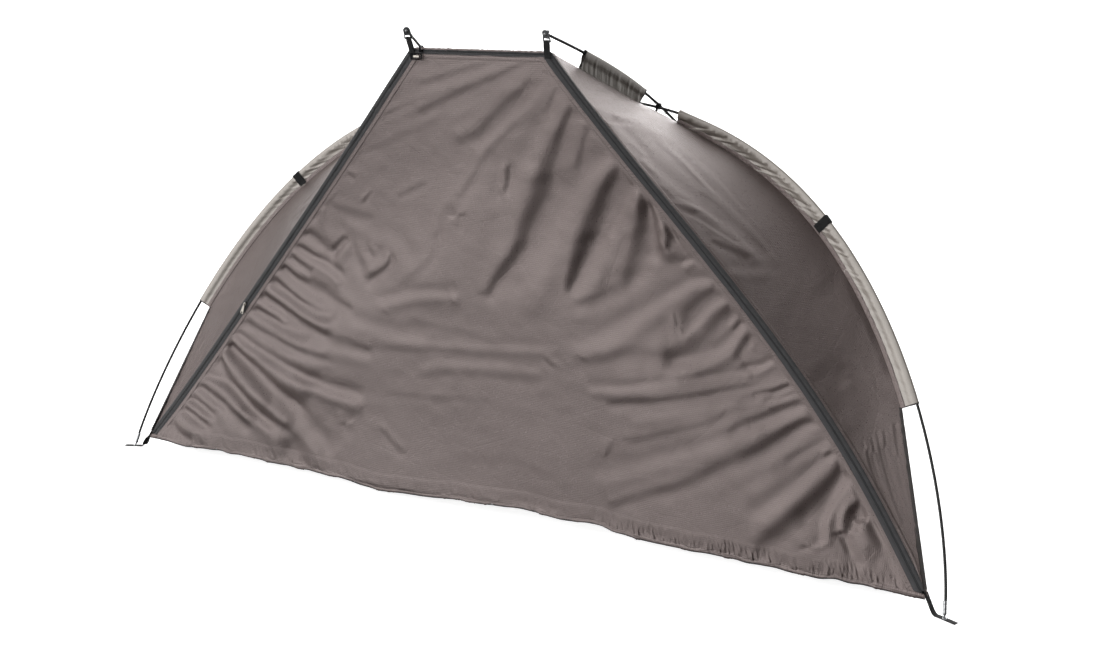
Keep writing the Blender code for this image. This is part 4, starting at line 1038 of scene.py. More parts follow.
def tube(name, points, radius, material, sides=12, closed=False):
    """A round bar along a line of points; radius is one number or one for each point."""
    points = np.asarray(points, float)
    radius = np.zeros(len(points)) + radius
    along = np.roll(points, -1, 0) - np.roll(points, 1, 0) if closed else np.gradient(points, axis=0)
    along = unit(along)
    side = np.cross(along[0], [0.0, 0.0, 1.0])
    if np.linalg.norm(side) < 0.1:
        side = np.cross(along[0], [1.0, 0.0, 0.0])
    rings = []
    for p, t, r in zip(points, along, radius):
        side = unit(side - t * (side @ t))
        other = np.cross(t, side)
        turn = np.linspace(0, 2 * math.pi, sides, endpoint=False)
        rings.append(p + r * (np.cos(turn)[:, None] * side + np.sin(turn)[:, None] * other))
    count = len(points)
    flat = np.vstack(rings)
    faces = []
    for i in range(count if closed else count - 1):
        for j in range(sides):
            k, n = (j + 1) % sides, (i + 1) % count
            faces.append((i * sides + j, i * sides + k, n * sides + k, n * sides + j))
    if not closed:
        faces.append(tuple(reversed(range(sides))))
        faces.append(tuple(range((count - 1) * sides, count * sides)))
    piece = mesh_from(name, flat, faces, material)
    piece.data.set_sharp_from_angle(angle=math.radians(60))
    return piece

def slider(name, x, v, angle, pull_angle, pull_length, pull_half, metal):
    """A slider on the chain, turned by its angle, with a stamped pull swung by its own."""
    upright, outwards = Vector(up_front(v)), Vector(out_of_front(v))
    turn = Matrix.Rotation(math.radians(angle), 3, outwards)
    across = turn @ upright.cross(outwards)
    upward = turn @ upright
    place = Vector(on_front(x, v, TAPE_LIFT + COIL_R + SLIDER_H / 2 - 0.001))
    matrix = axes_matrix(place, across, upward, across.cross(upward))
    w, l = SLIDER_W / 2, SLIDER_L / 2
    body = arc(0, l - w * 0.8, w, w * 0.8, 0, 180, 14) + [(-w * 0.72, -l), (w * 0.72, -l)]
    made = [slab(name + "_body", [body], SLIDER_H, metal, matrix, 0.0008)]
    arch = ((0.7, 0.5), (0.35, 0.98), (-0.3, 0.98), (-0.65, 0.5))
    bridge = smooth_line([(0, l * along, SLIDER_H * up) for along, up in arch], 12)
    made.append(tube(name + "_bridge", [matrix @ Vector(p) for p in bridge], 0.0009, metal, 10))
    swing = Matrix.Rotation(math.radians(pull_angle), 4, "Z")
    swing = matrix @ Matrix.Translation((0, -l * 0.1, SLIDER_H * 0.72)) @ swing
    tab = arc(0, -0.002, 0.0026, 0.0026, 0, 180, 10)
    tab += arc(0, 0.003 - pull_length, pull_half, 0.003, 180, 360, 10)
    eye = arc(0, -0.0018, 0.0013, 0.0013, 0, 330, 11)
    grip = arc(0, 0.004 - pull_length, pull_half * 0.5, 0.0034, 0, 345, 15)
    made.append(slab(name + "_pull", [tab, eye, grip], 0.0012, metal, swing, 0.0003))
    return joined(name, made)


CHAIN_MIDDLE = 0.0072
TOP_PULL = (-0.1755, PANEL_HEIGHT - 0.0185)
PULL_LIFT = 0.0062
PULL_FRAME = ((0.0165, 0.0080, 0.0030), (0.0135, 0.0048, 0.0016))  # half width, half height, corner
QUARTERS = ((1, 1, 0), (-1, 1, 90), (-1, -1, 180), (1, -1, 270))
for name, x, v, angle, pull_angle, pull_length, pull_half, metal in (
    ("zip_slider_top", -0.162, PANEL_HEIGHT - CHAIN_MIDDLE * TOP_ROLL, 90, 100, 0.014, 0.0030, BLACKENED),
    ("zip_slider_left", -slant_x(0.428, CHAIN_MIDDLE), 0.428, -39.5, 18, 0.030, 0.0052, NICKEL),
):
    piece = slider(name + "_metal", x, v, angle, pull_angle, pull_length, pull_half, metal)
    if name == "zip_slider_top":
        lie = axes_matrix(
            Vector(on_front(*TOP_PULL, PULL_LIFT)), Vector((1, 0, 0)),
            Vector(up_front(TOP_PULL[1])), Vector(out_of_front(TOP_PULL[1])),
        )
        outlines = [
            [spot for sx, sy, a in QUARTERS for spot in arc(sx * (w - r), sy * (h - r), r, r, a, a + 90, 6)]
            for w, h, r in PULL_FRAME
        ]
        loop = slab("pull_frame", outlines, 0.0022, BLACKENED, lie, 0.0004)
        tongue = arc(0.0070, 0, 0.0022, 0.0022, -90, 90, 8) + arc(-0.0060, 0, 0.0026, 0.0026, 90, 270, 8)
        tongue = slab("pull_tongue", [tongue], 0.0016, NICKEL, lie, 0.0003)
        piece = joined(name + "_metal", [piece, loop, tongue])
    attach(piece, "shelter")
    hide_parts(name)

# The front hem: the panel's lower edge and the groundsheet's are rolled together and stitched flat, in
# the panel's own taffeta. A thin charcoal tube along its bottom is painted shade, a dark line where the
# roll turns under. It follows the ground.
BAND_HALF, BAND_THICK = 0.0056, 0.0030
xs = np.linspace(-1, 1, 1100) * slant_x(0.0, 0.004)
wave = hem_wave(xs)
scallop = 0.00035 * ripple(xs / 0.004, xs * 0, 51) + 0.0006 * ripple(xs / 0.018, xs * 0, 52)
turn = np.linspace(0, 2 * math.pi, 17)
stitched = 1 - 0.30 * np.exp(-(((np.sin(turn) - 0.35) / 0.18) ** 2))
ring = np.stack([np.cos(turn) * stitched * BAND_THICK, np.sin(turn) * BAND_HALF], axis=1)
size = (1 + scallop / BAND_THICK)[:, None]
grid = on_front(xs[:, None] + turn * 0, wave[:, None] + size * ring[:, 1], 0.0010 + size * ring[:, 0])
cut = np.stack(np.broadcast_arrays(xs[:, None], turn * 0.004), axis=-1)
hem = cloth_mesh("front_hem_band", grid, TAUPE, cut=cut, inside=None)
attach(hem, "shelter")
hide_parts("front_hem")
# painted shade: a thin charcoal tube darkens the bottom edge of the rolled hem
hem_shade_line = tube("front_hem_painted_shade", on_front(xs, wave - BAND_HALF * 0.92, 0.0012), 0.0016, CHARCOAL_TAPE, 8)
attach(hem_shade_line, "shelter")

# The groundsheet: a tray of polyethylene, woven from flat 2.4 mm tapes and laminated to a slightly greasy
# gloss. Its floor lies on the ground, creased in a grid where it was folded to pack; its rim rises 35 mm,
# most gently at the front, and its edge turns up a little way inside the canopy.
RIM, FRONT_RIM = 0.045, 0.110
SHEET_THICK = 0.0012
RIM_RINGS = 9
LIP_IN, LIP_UP = 0.0012, 0.0044

TARPAULIN, tree, shader = new_material("grey_polyethylene_tarpaulin", 0.42, IOR=1.51)
cut = node(tree, "TexCoord", out="Object")
bands = {"Vector": cut, "Scale": WAVE_UNIT / 0.0024}
warp, weft = (node(tree, "TexWave", bands, "Fac", bands_direction=axis) for axis in "XY")
weave = node(tree, "Math", {0: warp, 1: weft}, operation="MULTIPLY")
dust = node(tree, "TexNoise", {"Vector": cut, "Scale": 7.0, "Detail": 6.0, "Roughness": 0.65})
tone = node(tree, "Math", {0: weave, 1: 0.25, 2: dust}, operation="MULTIPLY_ADD")
tone = node(tree, "MapRange", {"Value": tone, "From Min": 0.3})
ramp = ((0, "#494745"), (1, "#5E5B59"))
node(tree, "ValToRGB", {"Fac": tone}, ramp=ramp, to=shader.inputs["Base Color"])
crease = node(tree, "TexNoise", {"Vector": cut, "Scale": 22.0, "Detail": 4.0})
surface = node(tree, "Math", {0: crease, 1: 2.5, 2: weave}, operation="MULTIPLY_ADD")
node(tree, "Bump", {"Height": surface, "Distance": 0.0008, "Strength": 0.6}, to=shader.inputs["Normal"])
outline = np.array([(-HEM_HALF, HEM_Y), (HEM_HALF, HEM_Y), (REAR_HALF, REAR_Y), (-REAR_HALF, REAR_Y)])


def tray_ring(share, z):
    """The groundsheet's outline drawn in by a share of its rim."""
    inset = RIM * share
    front = 0.0043 + (FRONT_RIM - 0.0043) * share
    rim_step = front - inset
    half_front = HEM_HALF - (HEM_HALF - REAR_HALF) * rim_step / (REAR_Y - HEM_Y)
    base = outline.copy()
    base[0] = (-half_front, HEM_Y + rim_step)
    base[1] = (half_front, HEM_Y + rim_step)
    corners = []
    for i in range(4):
        before = unit(base[i] - base[i - 1])
        after = unit(base[(i + 1) % 4] - base[i])
        inner = unit(np.array([-before[1] - after[1], before[0] + after[0]]))
        corners.append(base[i] + inner * inset / (inner @ np.array([-after[1], after[0]])))
    return [(*c, z) for c in corners]


def around(corners, per_side):
    line = []
    for i in range(4):
        a, b = np.array(corners[i]), np.array(corners[(i + 1) % 4])
        line += [a + (b - a) * f for f in np.linspace(0, 1, per_side, endpoint=False)]
    return np.array(line + [line[0]])


per_side = 90
shares = np.linspace(0, 1, RIM_RINGS)
rings = [around(tray_ring(LIP_IN / RIM, HEM_LIFT + LIP_UP), per_side)]
rings += [around(tray_ring(f, (HEM_LIFT - 0.0006) * (1 - f) ** 1.4 + 0.0012), per_side) for f in shares]
centre = np.array([0.0, -0.10, 0.0012])
rings += [centre + (rings[-1] - centre) * (1 - f) for f in np.linspace(0, 0.985, 46)[1:]]
grid = np.array(rings)
laid = np.concatenate([[0.0], shares, np.ones(len(rings) - RIM_RINGS - 1)])[:, None]
x, y = grid[..., 0], grid[..., 1]
lift = 0.0022 + 0.0014 * ripple(x / 0.14, y / 0.12, 61) + 0.0006 * ripple(x / 0.03, y / 0.03, 62)
lift += sum(0.0014 * np.exp(-(((x - at) / 0.006) ** 2)) for at in (-0.77, -0.385, 0.0, 0.385, 0.77))
lift += sum(0.0014 * np.exp(-(((y - at) / 0.006) ** 2)) for at in (-0.32, -0.04, 0.24))
grid[..., 2] += np.clip(lift, 0.0, None) * laid**2
grid[:, :per_side, 2] += (hem_wave(grid[:, :per_side, 0]) * (1 - laid) ** 2).clip(-0.010, None)
ground = cloth_mesh("groundsheet_tray", grid, TARPAULIN, cut=grid[..., :2], inside=(0, -0.1, 5.0))
thick = ground.modifiers.new("Thickness", "SOLIDIFY")
thick.thickness = SHEET_THICK
thick.offset = -1 if ground.data.polygons[0].normal.z > 0 else 1
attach(ground, "shelter")
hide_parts("groundsheet")

# The pole sleeves: strips of lighter grey taffeta folded round each pole and sewn into the canopy's
# seams, so a flat double web runs from the seam to a snug tunnel. The gathered seam throws short slanting
# creases into the web; the hoop sleeve's upper mouth is rolled back and its lower end is bound.
SLEEVE_GREY = taffeta("warm_grey_polyester_taffeta", "#7E7770", "#706A64", 0.34, 0.08, "#FFF9F3", 1.66, 0.16)
BINDING = woven_tape("charcoal_seam_binding", "#46413F", "#312D2C", 0.0016, 0.55)
TUNNEL_R = 0.0052
SLEEVE_FOOT = 0.0020
WEB_POINTS = 13


def web_axes(pole_line, seam_line):
    """Unit vectors along a sleeve's web: out from its seam to its pole, and square to its face."""
    along = unit(np.gradient(pole_line, axis=0))
    outer = pole_line - seam_line
    outer = unit(outer - along * (outer * along).sum(1)[:, None])
    return outer, np.cross(along, outer)


def sleeve_mesh(name, pole_line, seam_line, side, crease):
    outer, across = web_axes(pole_line, seam_line)
    web = np.linalg.norm(pole_line - seam_line, axis=1)
    far = lengths(pole_line)
    rows = []
    lower = np.linspace(-0.05, 0.80, WEB_POINTS)
    ring = np.radians(np.linspace(62, -62, 11))
    upper = soft_step(far, 0.20, 0.62)
    slant = crease["slant"][0] + (crease["slant"][1] - crease["slant"][0]) * upper
    height = crease["height"][0] + (crease["height"][1] - crease["height"][0]) * upper
    for k in range(len(far)):
        flare = crease.get("flare", 0.0) * math.exp(-(far[-1] - far[k]) / 0.030)
        radius = TUNNEL_R + flare
        o = lower * (web[k] - radius * 0.4)
        swell = SLEEVE_FOOT + (radius * 0.9 - SLEEVE_FOOT) * soft_step(lower, 0.45, 0.80)
        fade = soft_step(lower, -0.06, 0.06) * (1 - 0.75 * np.clip(lower, 0, 1) ** 3)
        place = (far[k] + o * slant[k]) / crease["pitch"]
        sharp = np.abs(ripple(place, o / 0.06 + 5 * side, crease["seed"])) - 0.6
        shift = height[k] * fade * (sharp + 0.35 * ripple(place * 2.3, o / 0.03, crease["seed"] + 1))
        row = [(o[i], swell[i] + shift[i]) for i in range(WEB_POINTS)]
        row += [(web[k] + radius * math.cos(a), radius * math.sin(a)) for a in ring]
        row += [(o[i], -swell[i] + shift[i]) for i in reversed(range(WEB_POINTS))]
        row = np.array(row)
        rows.append(seam_line[k] + outer[k] * row[:, :1] + across[k] * row[:, 1:])
    grid = mirrored(np.array(rows), side)
    return cloth_mesh(name, grid, SLEEVE_GREY, inside=None), far[-1], grid


def ridge_point(y):
    """The canopy's ridge between the top corner and the crossing."""
    end = hoop_seam(T_CROSS)
    return TOP_CORNER.lerp(end, (y - TOP_CORNER.y) / (end.y - TOP_CORNER.y))


hoop_ts = steps(T_SLEEVE, T_MOUTH, 560)
ridge_ss = steps(*S_RIDGE_SLEEVE, 90)
rear_ss = steps(*S_REAR_SLEEVE, 150)
creases = {
    # crease spacing, how far each slants down as it crosses the web, mouth, and height along the sleeve
    "hoop": {"pitch": 0.0125, "slant": (1.0, 3.0), "seed": 71, "flare": 0.005, "height": (0.0004, 0.0021)},
    "ridge": {"pitch": 0.0065, "slant": (0.5, 0.5), "seed": 73, "height": (0.0007, 0.0007)},
    "rear": {"pitch": 0.018, "slant": (0.8, 0.8), "seed": 75, "height": (0.0010, 0.0010)},
}
sleeve_lines = {
    "hoop": ([hoop(t) for t in hoop_ts], [hoop_seam(t) for t in hoop_ts]),
    "ridge": ([rear_pole(s) for s in ridge_ss], [ridge_point(rear_pole(s).y) for s in ridge_ss]),
    "rear": ([rear_pole(s) for s in rear_ss], [rear_seam(s) for s in rear_ss]),
}
for kind, both_lines in sleeve_lines.items():
    pole_line, seam_line = np.array(both_lines)
    for side_word, side in SIDES:
        name = f"{kind}_sleeve_{side_word}"
        piece, length, grid = sleeve_mesh(name + "_cloth", pole_line, seam_line, side, creases[kind])
        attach(piece, "shelter")
        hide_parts(name)
        # each end is bound with a narrow folded tape, all but the hoop sleeve's rolled mouth
        bands = []
        for end, inner in ((0, 1),) if kind == "hoop" else ((0, 1), (-1, -2)):
            lip = grid[end] + unit(grid[end] - grid[inner]) * 0.0008
            out_1 = lip + unit(lip - grid[end].mean(0)) * 0.0005
            out_2 = grid[inner] + unit(grid[inner] - grid[inner].mean(0)) * 0.0006
            folded_tape = [lip, out_1, (out_1 + out_2) / 2, out_2]
            bands.append(cloth_mesh("band", folded_tape, BINDING, inside=None))
        band = joined(name + "_end_binding", bands) if len(bands) > 1 else bands[0]
        band.name = name + "_end_binding"
        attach(band, "shelter")

# The outer seam: canopy, hoop sleeve and rear panel meet in one felled seam, whose allowance of canopy
# taffeta lies flat on both faces of the sleeve under two rows of stitching. Below the sleeve the same
# edge is closed by a charcoal tape folded over it, down to the front corner.
FELL_W = 0.0105
FELL_LIFT = 0.0034
FELL_STITCHES = (0.0026, 0.0078)
FOLD_OVER = (  # in from the edge, and out from the panel's face
    (0.0085, 0.0017), (0.0045, 0.0022), (0.0010, 0.0020), (-0.0012, 0.0),
    (0.0010, -0.0020), (0.0045, -0.0022), (0.0085, -0.0017),
)
pole_line, seam_line = np.array(sleeve_lines["hoop"])
outer, across = web_axes(pole_line, seam_line)
far = lengths(seam_line)[:, None]
o = np.linspace(-0.0022, FELL_W, 13)[None, :]
sewn = sum(np.exp(-(((o - at) / 0.0008) ** 2)) for at in FELL_STITCHES)
sewn = sewn * (0.75 + 0.25 * np.cos(2 * math.pi * far / 0.0032))
body = FELL_LIFT + 0.0003 * ripple(far / 0.006, o / 0.004, 81) - 0.0006 * sewn
body = body * soft_step(o, -0.0030, 0.0004) * (1 - 0.45 * soft_step(o, FELL_W - 0.0012, FELL_W))
lower_edge = [k for k in range(4, EDGE_STEPS + 1) if outer_seam[k][2] < seam_line[0][2] + 0.004]
for side_word, side in SIDES:
    faces = []
    for face in (-1, 1):
        base = seam_line[:, None] + outer[:, None] * o[..., None]
        base = base + across[:, None] * (face * body)[..., None]
        faces.append(cloth_mesh("fell", mirrored(base, side), TAUPE, inside=None))
    fell = joined("felled_seam_" + side_word, faces)
    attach(fell, "shelter")
    panel = side_panels[side]
    edge_line = panel[lower_edge, -1]
    inward = unit(panel[lower_edge, -5] - edge_line)
    facing = outward(panel)[lower_edge, -1]
    wobble = (1 + 0.10 * ripple(lengths(edge_line) / 0.012, 0 * edge_line[:, 0], 79))[:, None]
    rows = [edge_line + inward * a * wobble + facing * b * wobble for a, b in FOLD_OVER]
    rows = np.swapaxes(rows, 0, 1)
    binding = cloth_mesh("outer_edge_binding_" + side_word, rows, BINDING, inside=None)
    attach(binding, "shelter")

# The poles: pultruded fibreglass rods 6.8 mm thick, bent to shape by the straps and the fabric. Their
# jet black resin skin is satin, with faint glass strands running along it.
FERRULE_R, FERRULE_LENGTH = 0.0046, 0.030
PIN_R, PIN_LENGTH = 0.0022, 0.010
GLASS = grained(
    "black_fibreglass_rod", "#0E0E0F", "#050505", 0.55, (320.0, 3.0, 0.5), (0.0001, 0.35),
    spread=(-0.07, 0.11), IOR=1.45,
)
STEEL = grained("zinc_plated_steel", "#C9CACB", "#8E9092", 0.30, **PLATING)

hoop_half = [hoop(t) for t in steps(0.0, math.pi / 2, 220)]
start = hoop_half[0] + (hoop(0.09) - hoop(0.0)).normalized() * (FERRULE_LENGTH + PIN_LENGTH)
line = [start] + [p for p in hoop_half if p.z > FERRULE_LENGTH + 0.012]
whole = line + [(-x, y, z) for x, y, z in reversed(line[:-1])]
rod = tube("hoop_rod", whole, POLE_R, GLASS, 14)
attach(rod, "shelter")
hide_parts("hoop_pole")
tip_start = rear_pole(0.0) + (rear_pole(0.02) - rear_pole(0.0)).normalized() * 0.012
rear_direction = (rear_pole(0.953) - REAR_FOOT).normalized()
line = [tip_start] + [rear_pole(s) for s in steps(0.02, 0.955, 160)]
line.append(REAR_FOOT + rear_direction * (FERRULE_LENGTH + PIN_LENGTH))
for side_word, side in SIDES:
    rod = tube("rear_rod_" + side_word, mirrored(line, side), POLE_R, GLASS, 14)
    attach(rod, "shelter")
    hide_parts("rear_pole_" + side_word)

# The pole ends: drawn steel ferrules, crimped in two rings on to the rod, each with a turned pin that
# stands in its strap's eyelet. The rear poles' top pins pass through the corner plates.
hoop_direction = (hoop(0.155) - hoop(0.0)).normalized()
CRIMPED = (  # up from the ferrule's lower end, and the share of its radius there
    (0.0, 0.82), (0.0008, 1), (0.008, 1), (0.009, 0.88), (0.010, 0.88), (0.011, 1), (0.019, 1),
    (0.020, 0.88), (0.021, 0.88), (0.022, 1), (FERRULE_LENGTH - 0.0006, 1), (FERRULE_LENGTH, 0.9),
)
for kind, foot, direction in (("hoop", hoop(0.0), hoop_direction), ("rear", REAR_FOOT, rear_direction)):
    rounding = PIN_R * math.hypot(direction.x, direction.y) / direction.z
    profile = [(rounding, PIN_R * 0.55), (rounding + 0.0010, PIN_R), (PIN_LENGTH - 0.001, PIN_R)]
    profile += [(PIN_LENGTH + up, FERRULE_R * left) for up, left in CRIMPED]
    for side_word, side in SIDES:
        base, way = mirrored(foot, side), mirrored(direction, side)
        points = [base + way * far for far, _ in profile]
        piece = tube(f"{kind}_ferrule_{side_word}", points, np.array([r for _, r in profile]), STEEL, 20)
        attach(piece, "shelter")
        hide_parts(f"{kind}_foot_{side_word}")

# The corner plates: tongues injection-moulded in dark grey nylon, evenly satin with the fine spark grain
# of their mould, with an eyelet for the pole's pin and a slot for the webbing that is sewn over the
# canopy's top corner.
PLATE_W, PLATE_LENGTH, PLATE_THICK = 0.0185, 0.030, 0.0034
PLATE_FOOT = 0.0112
PLATE_TURN = math.radians(13)
STRAP_W, STRAP_THICK = 0.015, 0.0016
NYLON = grained(
    "dark_grey_moulded_nylon", "#505254", "#3B3D3F", 0.42, (1400.0, 3.0, 0.5), (0.0001, 0.4), IOR=1.53
)
WEBBING = woven_tape("black_polypropylene_webbing", "#0B0B0C", "#040404", 0.0022, 0.85, 0.02)
tip_lean = (TIP - TOP_CORNER).normalized()


def plate_matrix(side):
    across = Vector((1, 0, 0))
    out = across.cross(tip_lean).normalized()
    matrix = axes_matrix(Vector((side * TIP.x, TIP.y, TIP.z)), across, out.cross(across), out)
    return matrix @ Matrix.Rotation(-side * PLATE_TURN, 4, "Y")


def ribbon(name, path, across, width, thickness, material, wave=0.0, seed=1):
    """A flat band whose middle follows the path; across is one direction, or one for each point."""
    path = np.asarray(path, float)
    across = unit(np.zeros(path.shape) + np.asarray(across, float))
    along = unit(np.gradient(path, axis=0))
    normal = unit(np.cross(along, across))
    far = lengths(path)
    edge = np.linspace(-1, 1, 9)
    half = width / 2 * (1 + 0.012 * ripple(far / 0.004, far * 0, seed))
    belly = thickness / 2 * (1 - 0.55 * np.abs(edge) ** 6)
    rows = []
    for k in range(len(far)):
        lift = wave * ripple(far[k] / 0.012 + edge * 0.4, edge * 0.5, seed + 3)
        upper = path[k] + across[k] * (edge * half[k])[:, None] + normal[k] * (lift + belly)[:, None]
        lower = path[k] + across[k] * (edge * half[k])[:, None] + normal[k] * (lift - belly)[:, None]
        rows.append(np.vstack([upper, lower[::-1], upper[:1]]))
    grid = np.array(rows)
    girth = np.concatenate([edge, edge[::-1], edge[:1]]) * width / 2
    cut = np.stack(np.broadcast_arrays(girth, far[:, None]), axis=-1)
    band = cloth_mesh(name, grid, material, cut=cut, inside=None)
    bm = bmesh.new()
    bm.from_mesh(band.data)
    bmesh.ops.remove_doubles(bm, verts=bm.verts, dist=1e-7)
    bmesh.ops.holes_fill(bm, edges=[e for e in bm.edges if e.is_boundary], sides=0)
    bmesh.ops.recalc_face_normals(bm, faces=bm.faces)
    bm.to_mesh(band.data)
    bm.free()
    band.data.set_sharp_from_angle(angle=math.radians(50))
    return band


half_plate = PLATE_W / 2
low = 0.0085 - PLATE_LENGTH
foot_edge = [(PLATE_FOOT - 0.001, low), (PLATE_FOOT, low + 0.001), (PLATE_FOOT, low + 0.009)]
foot_edge.append((half_plate, low + 0.012))
tongue = arc(0, 0, half_plate, half_plate, 0, 180, 28)
tongue += [(-x, y) for x, y in reversed(foot_edge)] + foot_edge
hole = arc(0, 0, 0.0030, 0.0030, 0, 345, 23)
slot_loop = [(x, low + y) for x, y in ((-0.009, 0.0028), (0.009, 0.0028), (0.009, 0.0092), (-0.009, 0.0092))]
pin_profile = [
    (-0.0115, 0.0028), (-0.0110, 0.0041), (-0.0050, 0.0041), (-0.0045, 0.0034), (-0.0044, PIN_R),
    (0.0030, PIN_R), (0.0034, 0.0031), (0.0044, 0.0031), (0.0050, 0.0022), (0.0052, 0.0006),
]
for side_word, side in SIDES:
    matrix = plate_matrix(side)
    name = "corner_plate_" + side_word + "_moulding"
    plate = slab(name, [tongue, hole, slot_loop], PLATE_THICK, NYLON, matrix, 0.0007)
    circle = [matrix @ Vector((x, y, PLATE_THICK / 2)) for x, y in arc(0, 0, 0.0052, 0.0052, 0, 350, 35)]
    plate = joined(name, [plate, tube("rim", circle, 0.0009, NYLON, 8, True)])
    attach(plate, "shelter")
    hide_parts("corner_plate_" + side_word)
    points = [matrix @ Vector((0, 0, far)) for far, _ in pin_profile]
    pin = tube("pole_top_pin_" + side_word, points, np.array([r for _, r in pin_profile]), STEEL, 20)
    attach(pin, "shelter")
    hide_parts("rear_pole_pin_" + side_word)
    slot_at = matrix @ Vector((0, low + 0.0020, 0.0022))
    upper, normal = Vector(matrix.to_3x3().col[1]), Vector(matrix.to_3x3().col[2])
    low_x = side * (TOP_HALF - 0.0014)
    front = [
        Vector(on_front(low_x - side * inwards, PANEL_HEIGHT - down, out))
        for inwards, down, out in ((0.0, 0.014, 0.0046), (0.003, 0.003, 0.0052))
    ]
    path = smooth_line(front + [front[1].lerp(slot_at, 0.5), slot_at], 40)
    through = ((0.0018, 0.0010), (0.0012, 0.0042), (-0.003, 0.0052))
    loop = [slot_at + upper * up - normal * behind for up, behind in through]
    path = np.vstack([path, smooth_line([path[-1], *loop], 16)[1:]])
    strap = ribbon("top_webbing_" + side_word + "_loop", path, (1, 0, 0), 0.0170, 0.0015, WEBBING)
    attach(strap, "shelter")
    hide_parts("top_webbing_" + side_word)

# The sleeve tabs: black webbing, 23.5 mm wide, passed round each hoop sleeve half way up and stitched
# to itself at the seam.
TAB_W = 0.0235
for side_word, side in SIDES:
    p = np.array(hoop(T_TAB))
    s = np.array(hoop_seam(T_TAB))
    along = unit(np.array(hoop(T_TAB + 0.01)) - np.array(hoop(T_TAB - 0.01)))
    outer = unit((p - s) - along * ((p - s) @ along))
    across = np.cross(along, outer)
    wrap = [(0.0035, 0.0036), (0.012, 0.0040), (0.020, 0.0046), (0.028, 0.0058)]
    ring = [(WEB + 0.0074 * math.cos(a), 0.0074 * math.sin(a)) for a in np.radians(np.linspace(65, -65, 9))]
    loop = wrap + ring + [(o, -a) for o, a in reversed(wrap)]
    path = mirrored(smooth_line([s + outer * o + across * a for o, a in loop], 90), side)
    name = "sleeve_tab_" + side_word + "_webbing"
    band = ribbon(name, path, mirrored(along, side), TAB_W, 0.0013, WEBBING, 0.0004, 81)
    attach(band, "shelter")
    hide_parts("sleeve_tab_" + side_word)

# The crossing ties: a narrow grey-black tape sewn to the canopy under each crossing, knotted round both
# poles, with its two ends and one loop standing free.
RIBBON_W, RIBBON_THICK = 0.0060, 0.0007
hoop_along = (hoop(T_CROSS - 0.01) - hoop(T_CROSS + 0.01)).normalized()
rear_along = (rear_pole(S_CROSS + 0.01) - rear_pole(S_CROSS - 0.01)).normalized()
near_hoop, near_rear = intersect_line_line(
    hoop(T_CROSS), hoop(T_CROSS) + hoop_along, rear_pole(S_CROSS), rear_pole(S_CROSS) + rear_along
)
knot = (near_hoop + near_rear) / 2
lengthwise = (hoop_along + rear_along).normalized()
stack = hoop_along.cross(rear_along).normalized()
if stack.z < 0:
    stack.negate()
sideways = stack.cross(lengthwise)
half_stack = (near_rear - near_hoop).length / 2 + POLE_R + 0.0012
half_side = POLE_R + 0.0032
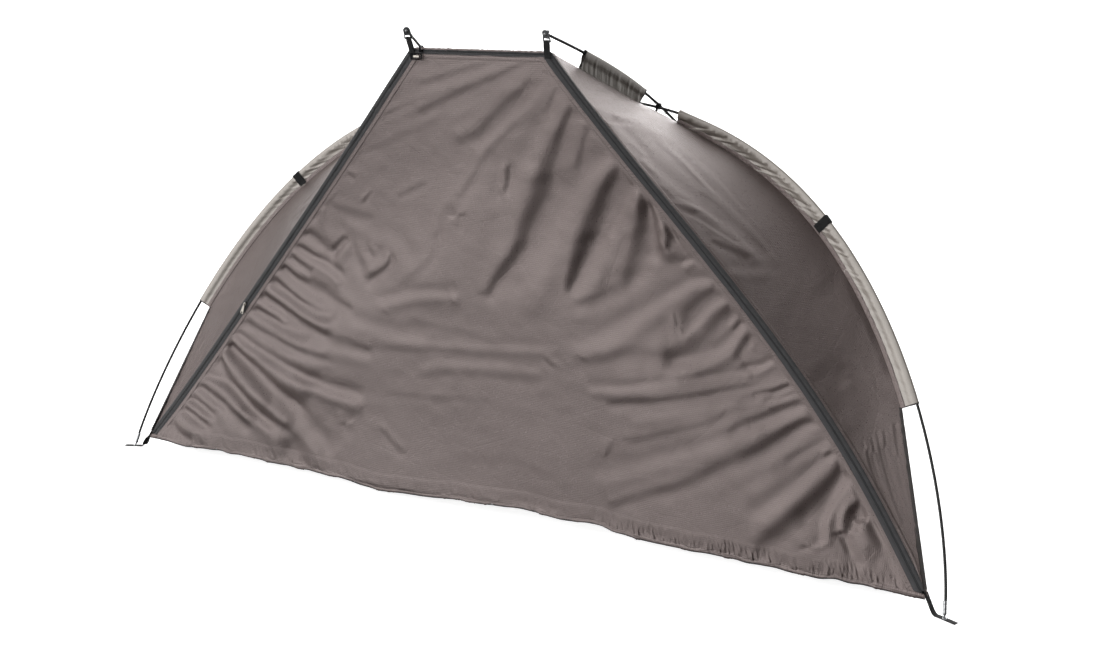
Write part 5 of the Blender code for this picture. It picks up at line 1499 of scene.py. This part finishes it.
# each run of the tie, from the knot: along the poles, sideways and up
wrap = [
    (0.004 * math.sin(a / 2), half_side * math.cos(a), half_stack * math.sin(a))
    for a in np.radians(np.linspace(-100, 620, 60))
]
tail = ((0, 0, -half_stack), (0.001, 0.001, -half_stack - 0.004), (0, 0, -half_stack - 0.012))
TIE_ENDS = (
    ((0, -0.002, -0.004), (-0.010, -0.010, -0.003), (-0.022, -0.018, 0.001), (-0.034, -0.026, 0.000)),
    ((0, 0.002, 0.004), (0.006, 0.004, 0.016), (0.012, 0.006, 0.026), (0.016, 0.004, 0.022),
     (0.024, 0.002, 0.010), (0.032, 0.000, 0.004), (0.040, -0.002, -0.002)),
    ((0.002, 0.003, -0.002), (0.014, 0.008, -0.006), (0.030, 0.010, -0.006), (0.040, 0.012, -0.008)),
)
for side_word, side in SIDES:
    made = []
    for i, run in enumerate((wrap, tail, *TIE_ENDS)):
        line = [knot + lengthwise * a + sideways * b + stack * c for a, b, c in run]
        path = mirrored(smooth_line(line, 60 if i == 0 else 30), side)
        wide = mirrored(lengthwise if i < 2 else sideways * 0.7 + stack * 0.5, side)
        width = RIBBON_W * (1 if i < 2 else 0.7)
        made.append(ribbon(f"tie_{i}", path, wide, width, RIBBON_THICK, WEBBING, 0.0002, 90 + i))
    tie = joined("crossing_tie_" + side_word + "_tape", made)
    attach(tie, "shelter")
    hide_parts("crossing_tie_" + side_word)

# The ground straps: black webbing sewn to each lower corner of the fabric, bent flat on to the ground
# and pierced by a plated eyelet that the pole's pin stands in. Both left ones are twisted on the way.
EYELET_R = 0.0042
GROUND_RUN = 0.030
STRAP_TWIST = {-1: 60, 1: 0}
for kind, corner, foot, direction in (
    ("front", FRONT_CORNER, hoop(0.0), hoop_direction),
    ("rear", REAR_CORNER, REAR_FOOT, rear_direction),
):
    away = Vector((foot.x - corner.x, foot.y - corner.y, 0)).normalized()
    level = STRAP_THICK / 2 + 0.0001
    bend = Vector((corner.x, corner.y, level)) + away * 0.020
    top = Vector((corner.x, corner.y, HEM_LIFT + 0.010)) - away * 0.006
    end = Vector((foot.x, foot.y, level)) + away * GROUND_RUN
    path = [top, top.lerp(bend, 0.5), top.lerp(bend, 0.86), bend + away * 0.004, bend + away * 0.012]
    path += [bend.lerp(end, f) for f in (0.5, 0.75, 1.0)]
    wide = Vector((-away.y, away.x, 0))
    for side_word, side in SIDES:
        line, lie = mirrored(smooth_line(path, 70), side), mirrored(wide, side)
        off_ground, at_corner = soft_step(line[:, 2], 0.001, 0.010), soft_step(line[:, 2], 0.016, 0.040)
        twist = math.radians(STRAP_TWIST[side]) * (off_ground * (1 - at_corner))[:, None]
        across = lie * np.cos(twist) + np.cross(unit(np.gradient(line, axis=0)), lie) * np.sin(twist)
        name = f"{kind}_strap_{side_word}_webbing"
        strap = ribbon(name, line, across, STRAP_W, STRAP_THICK, WEBBING, 0.0, 95)
        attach(strap, "shelter")
        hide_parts(f"{kind}_strap_{side_word}")
        x, y, z = mirrored((foot.x, foot.y, STRAP_THICK + 0.0002), side)
        turns = np.linspace(0, 2 * math.pi, 28, endpoint=False)
        circle = [(x + EYELET_R * math.cos(a), y + EYELET_R * math.sin(a), z) for a in turns]
        eyelet = tube(f"{kind}_eyelet_{side_word}", circle, 0.0011, STEEL, 10, True)
        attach(eyelet, "shelter")
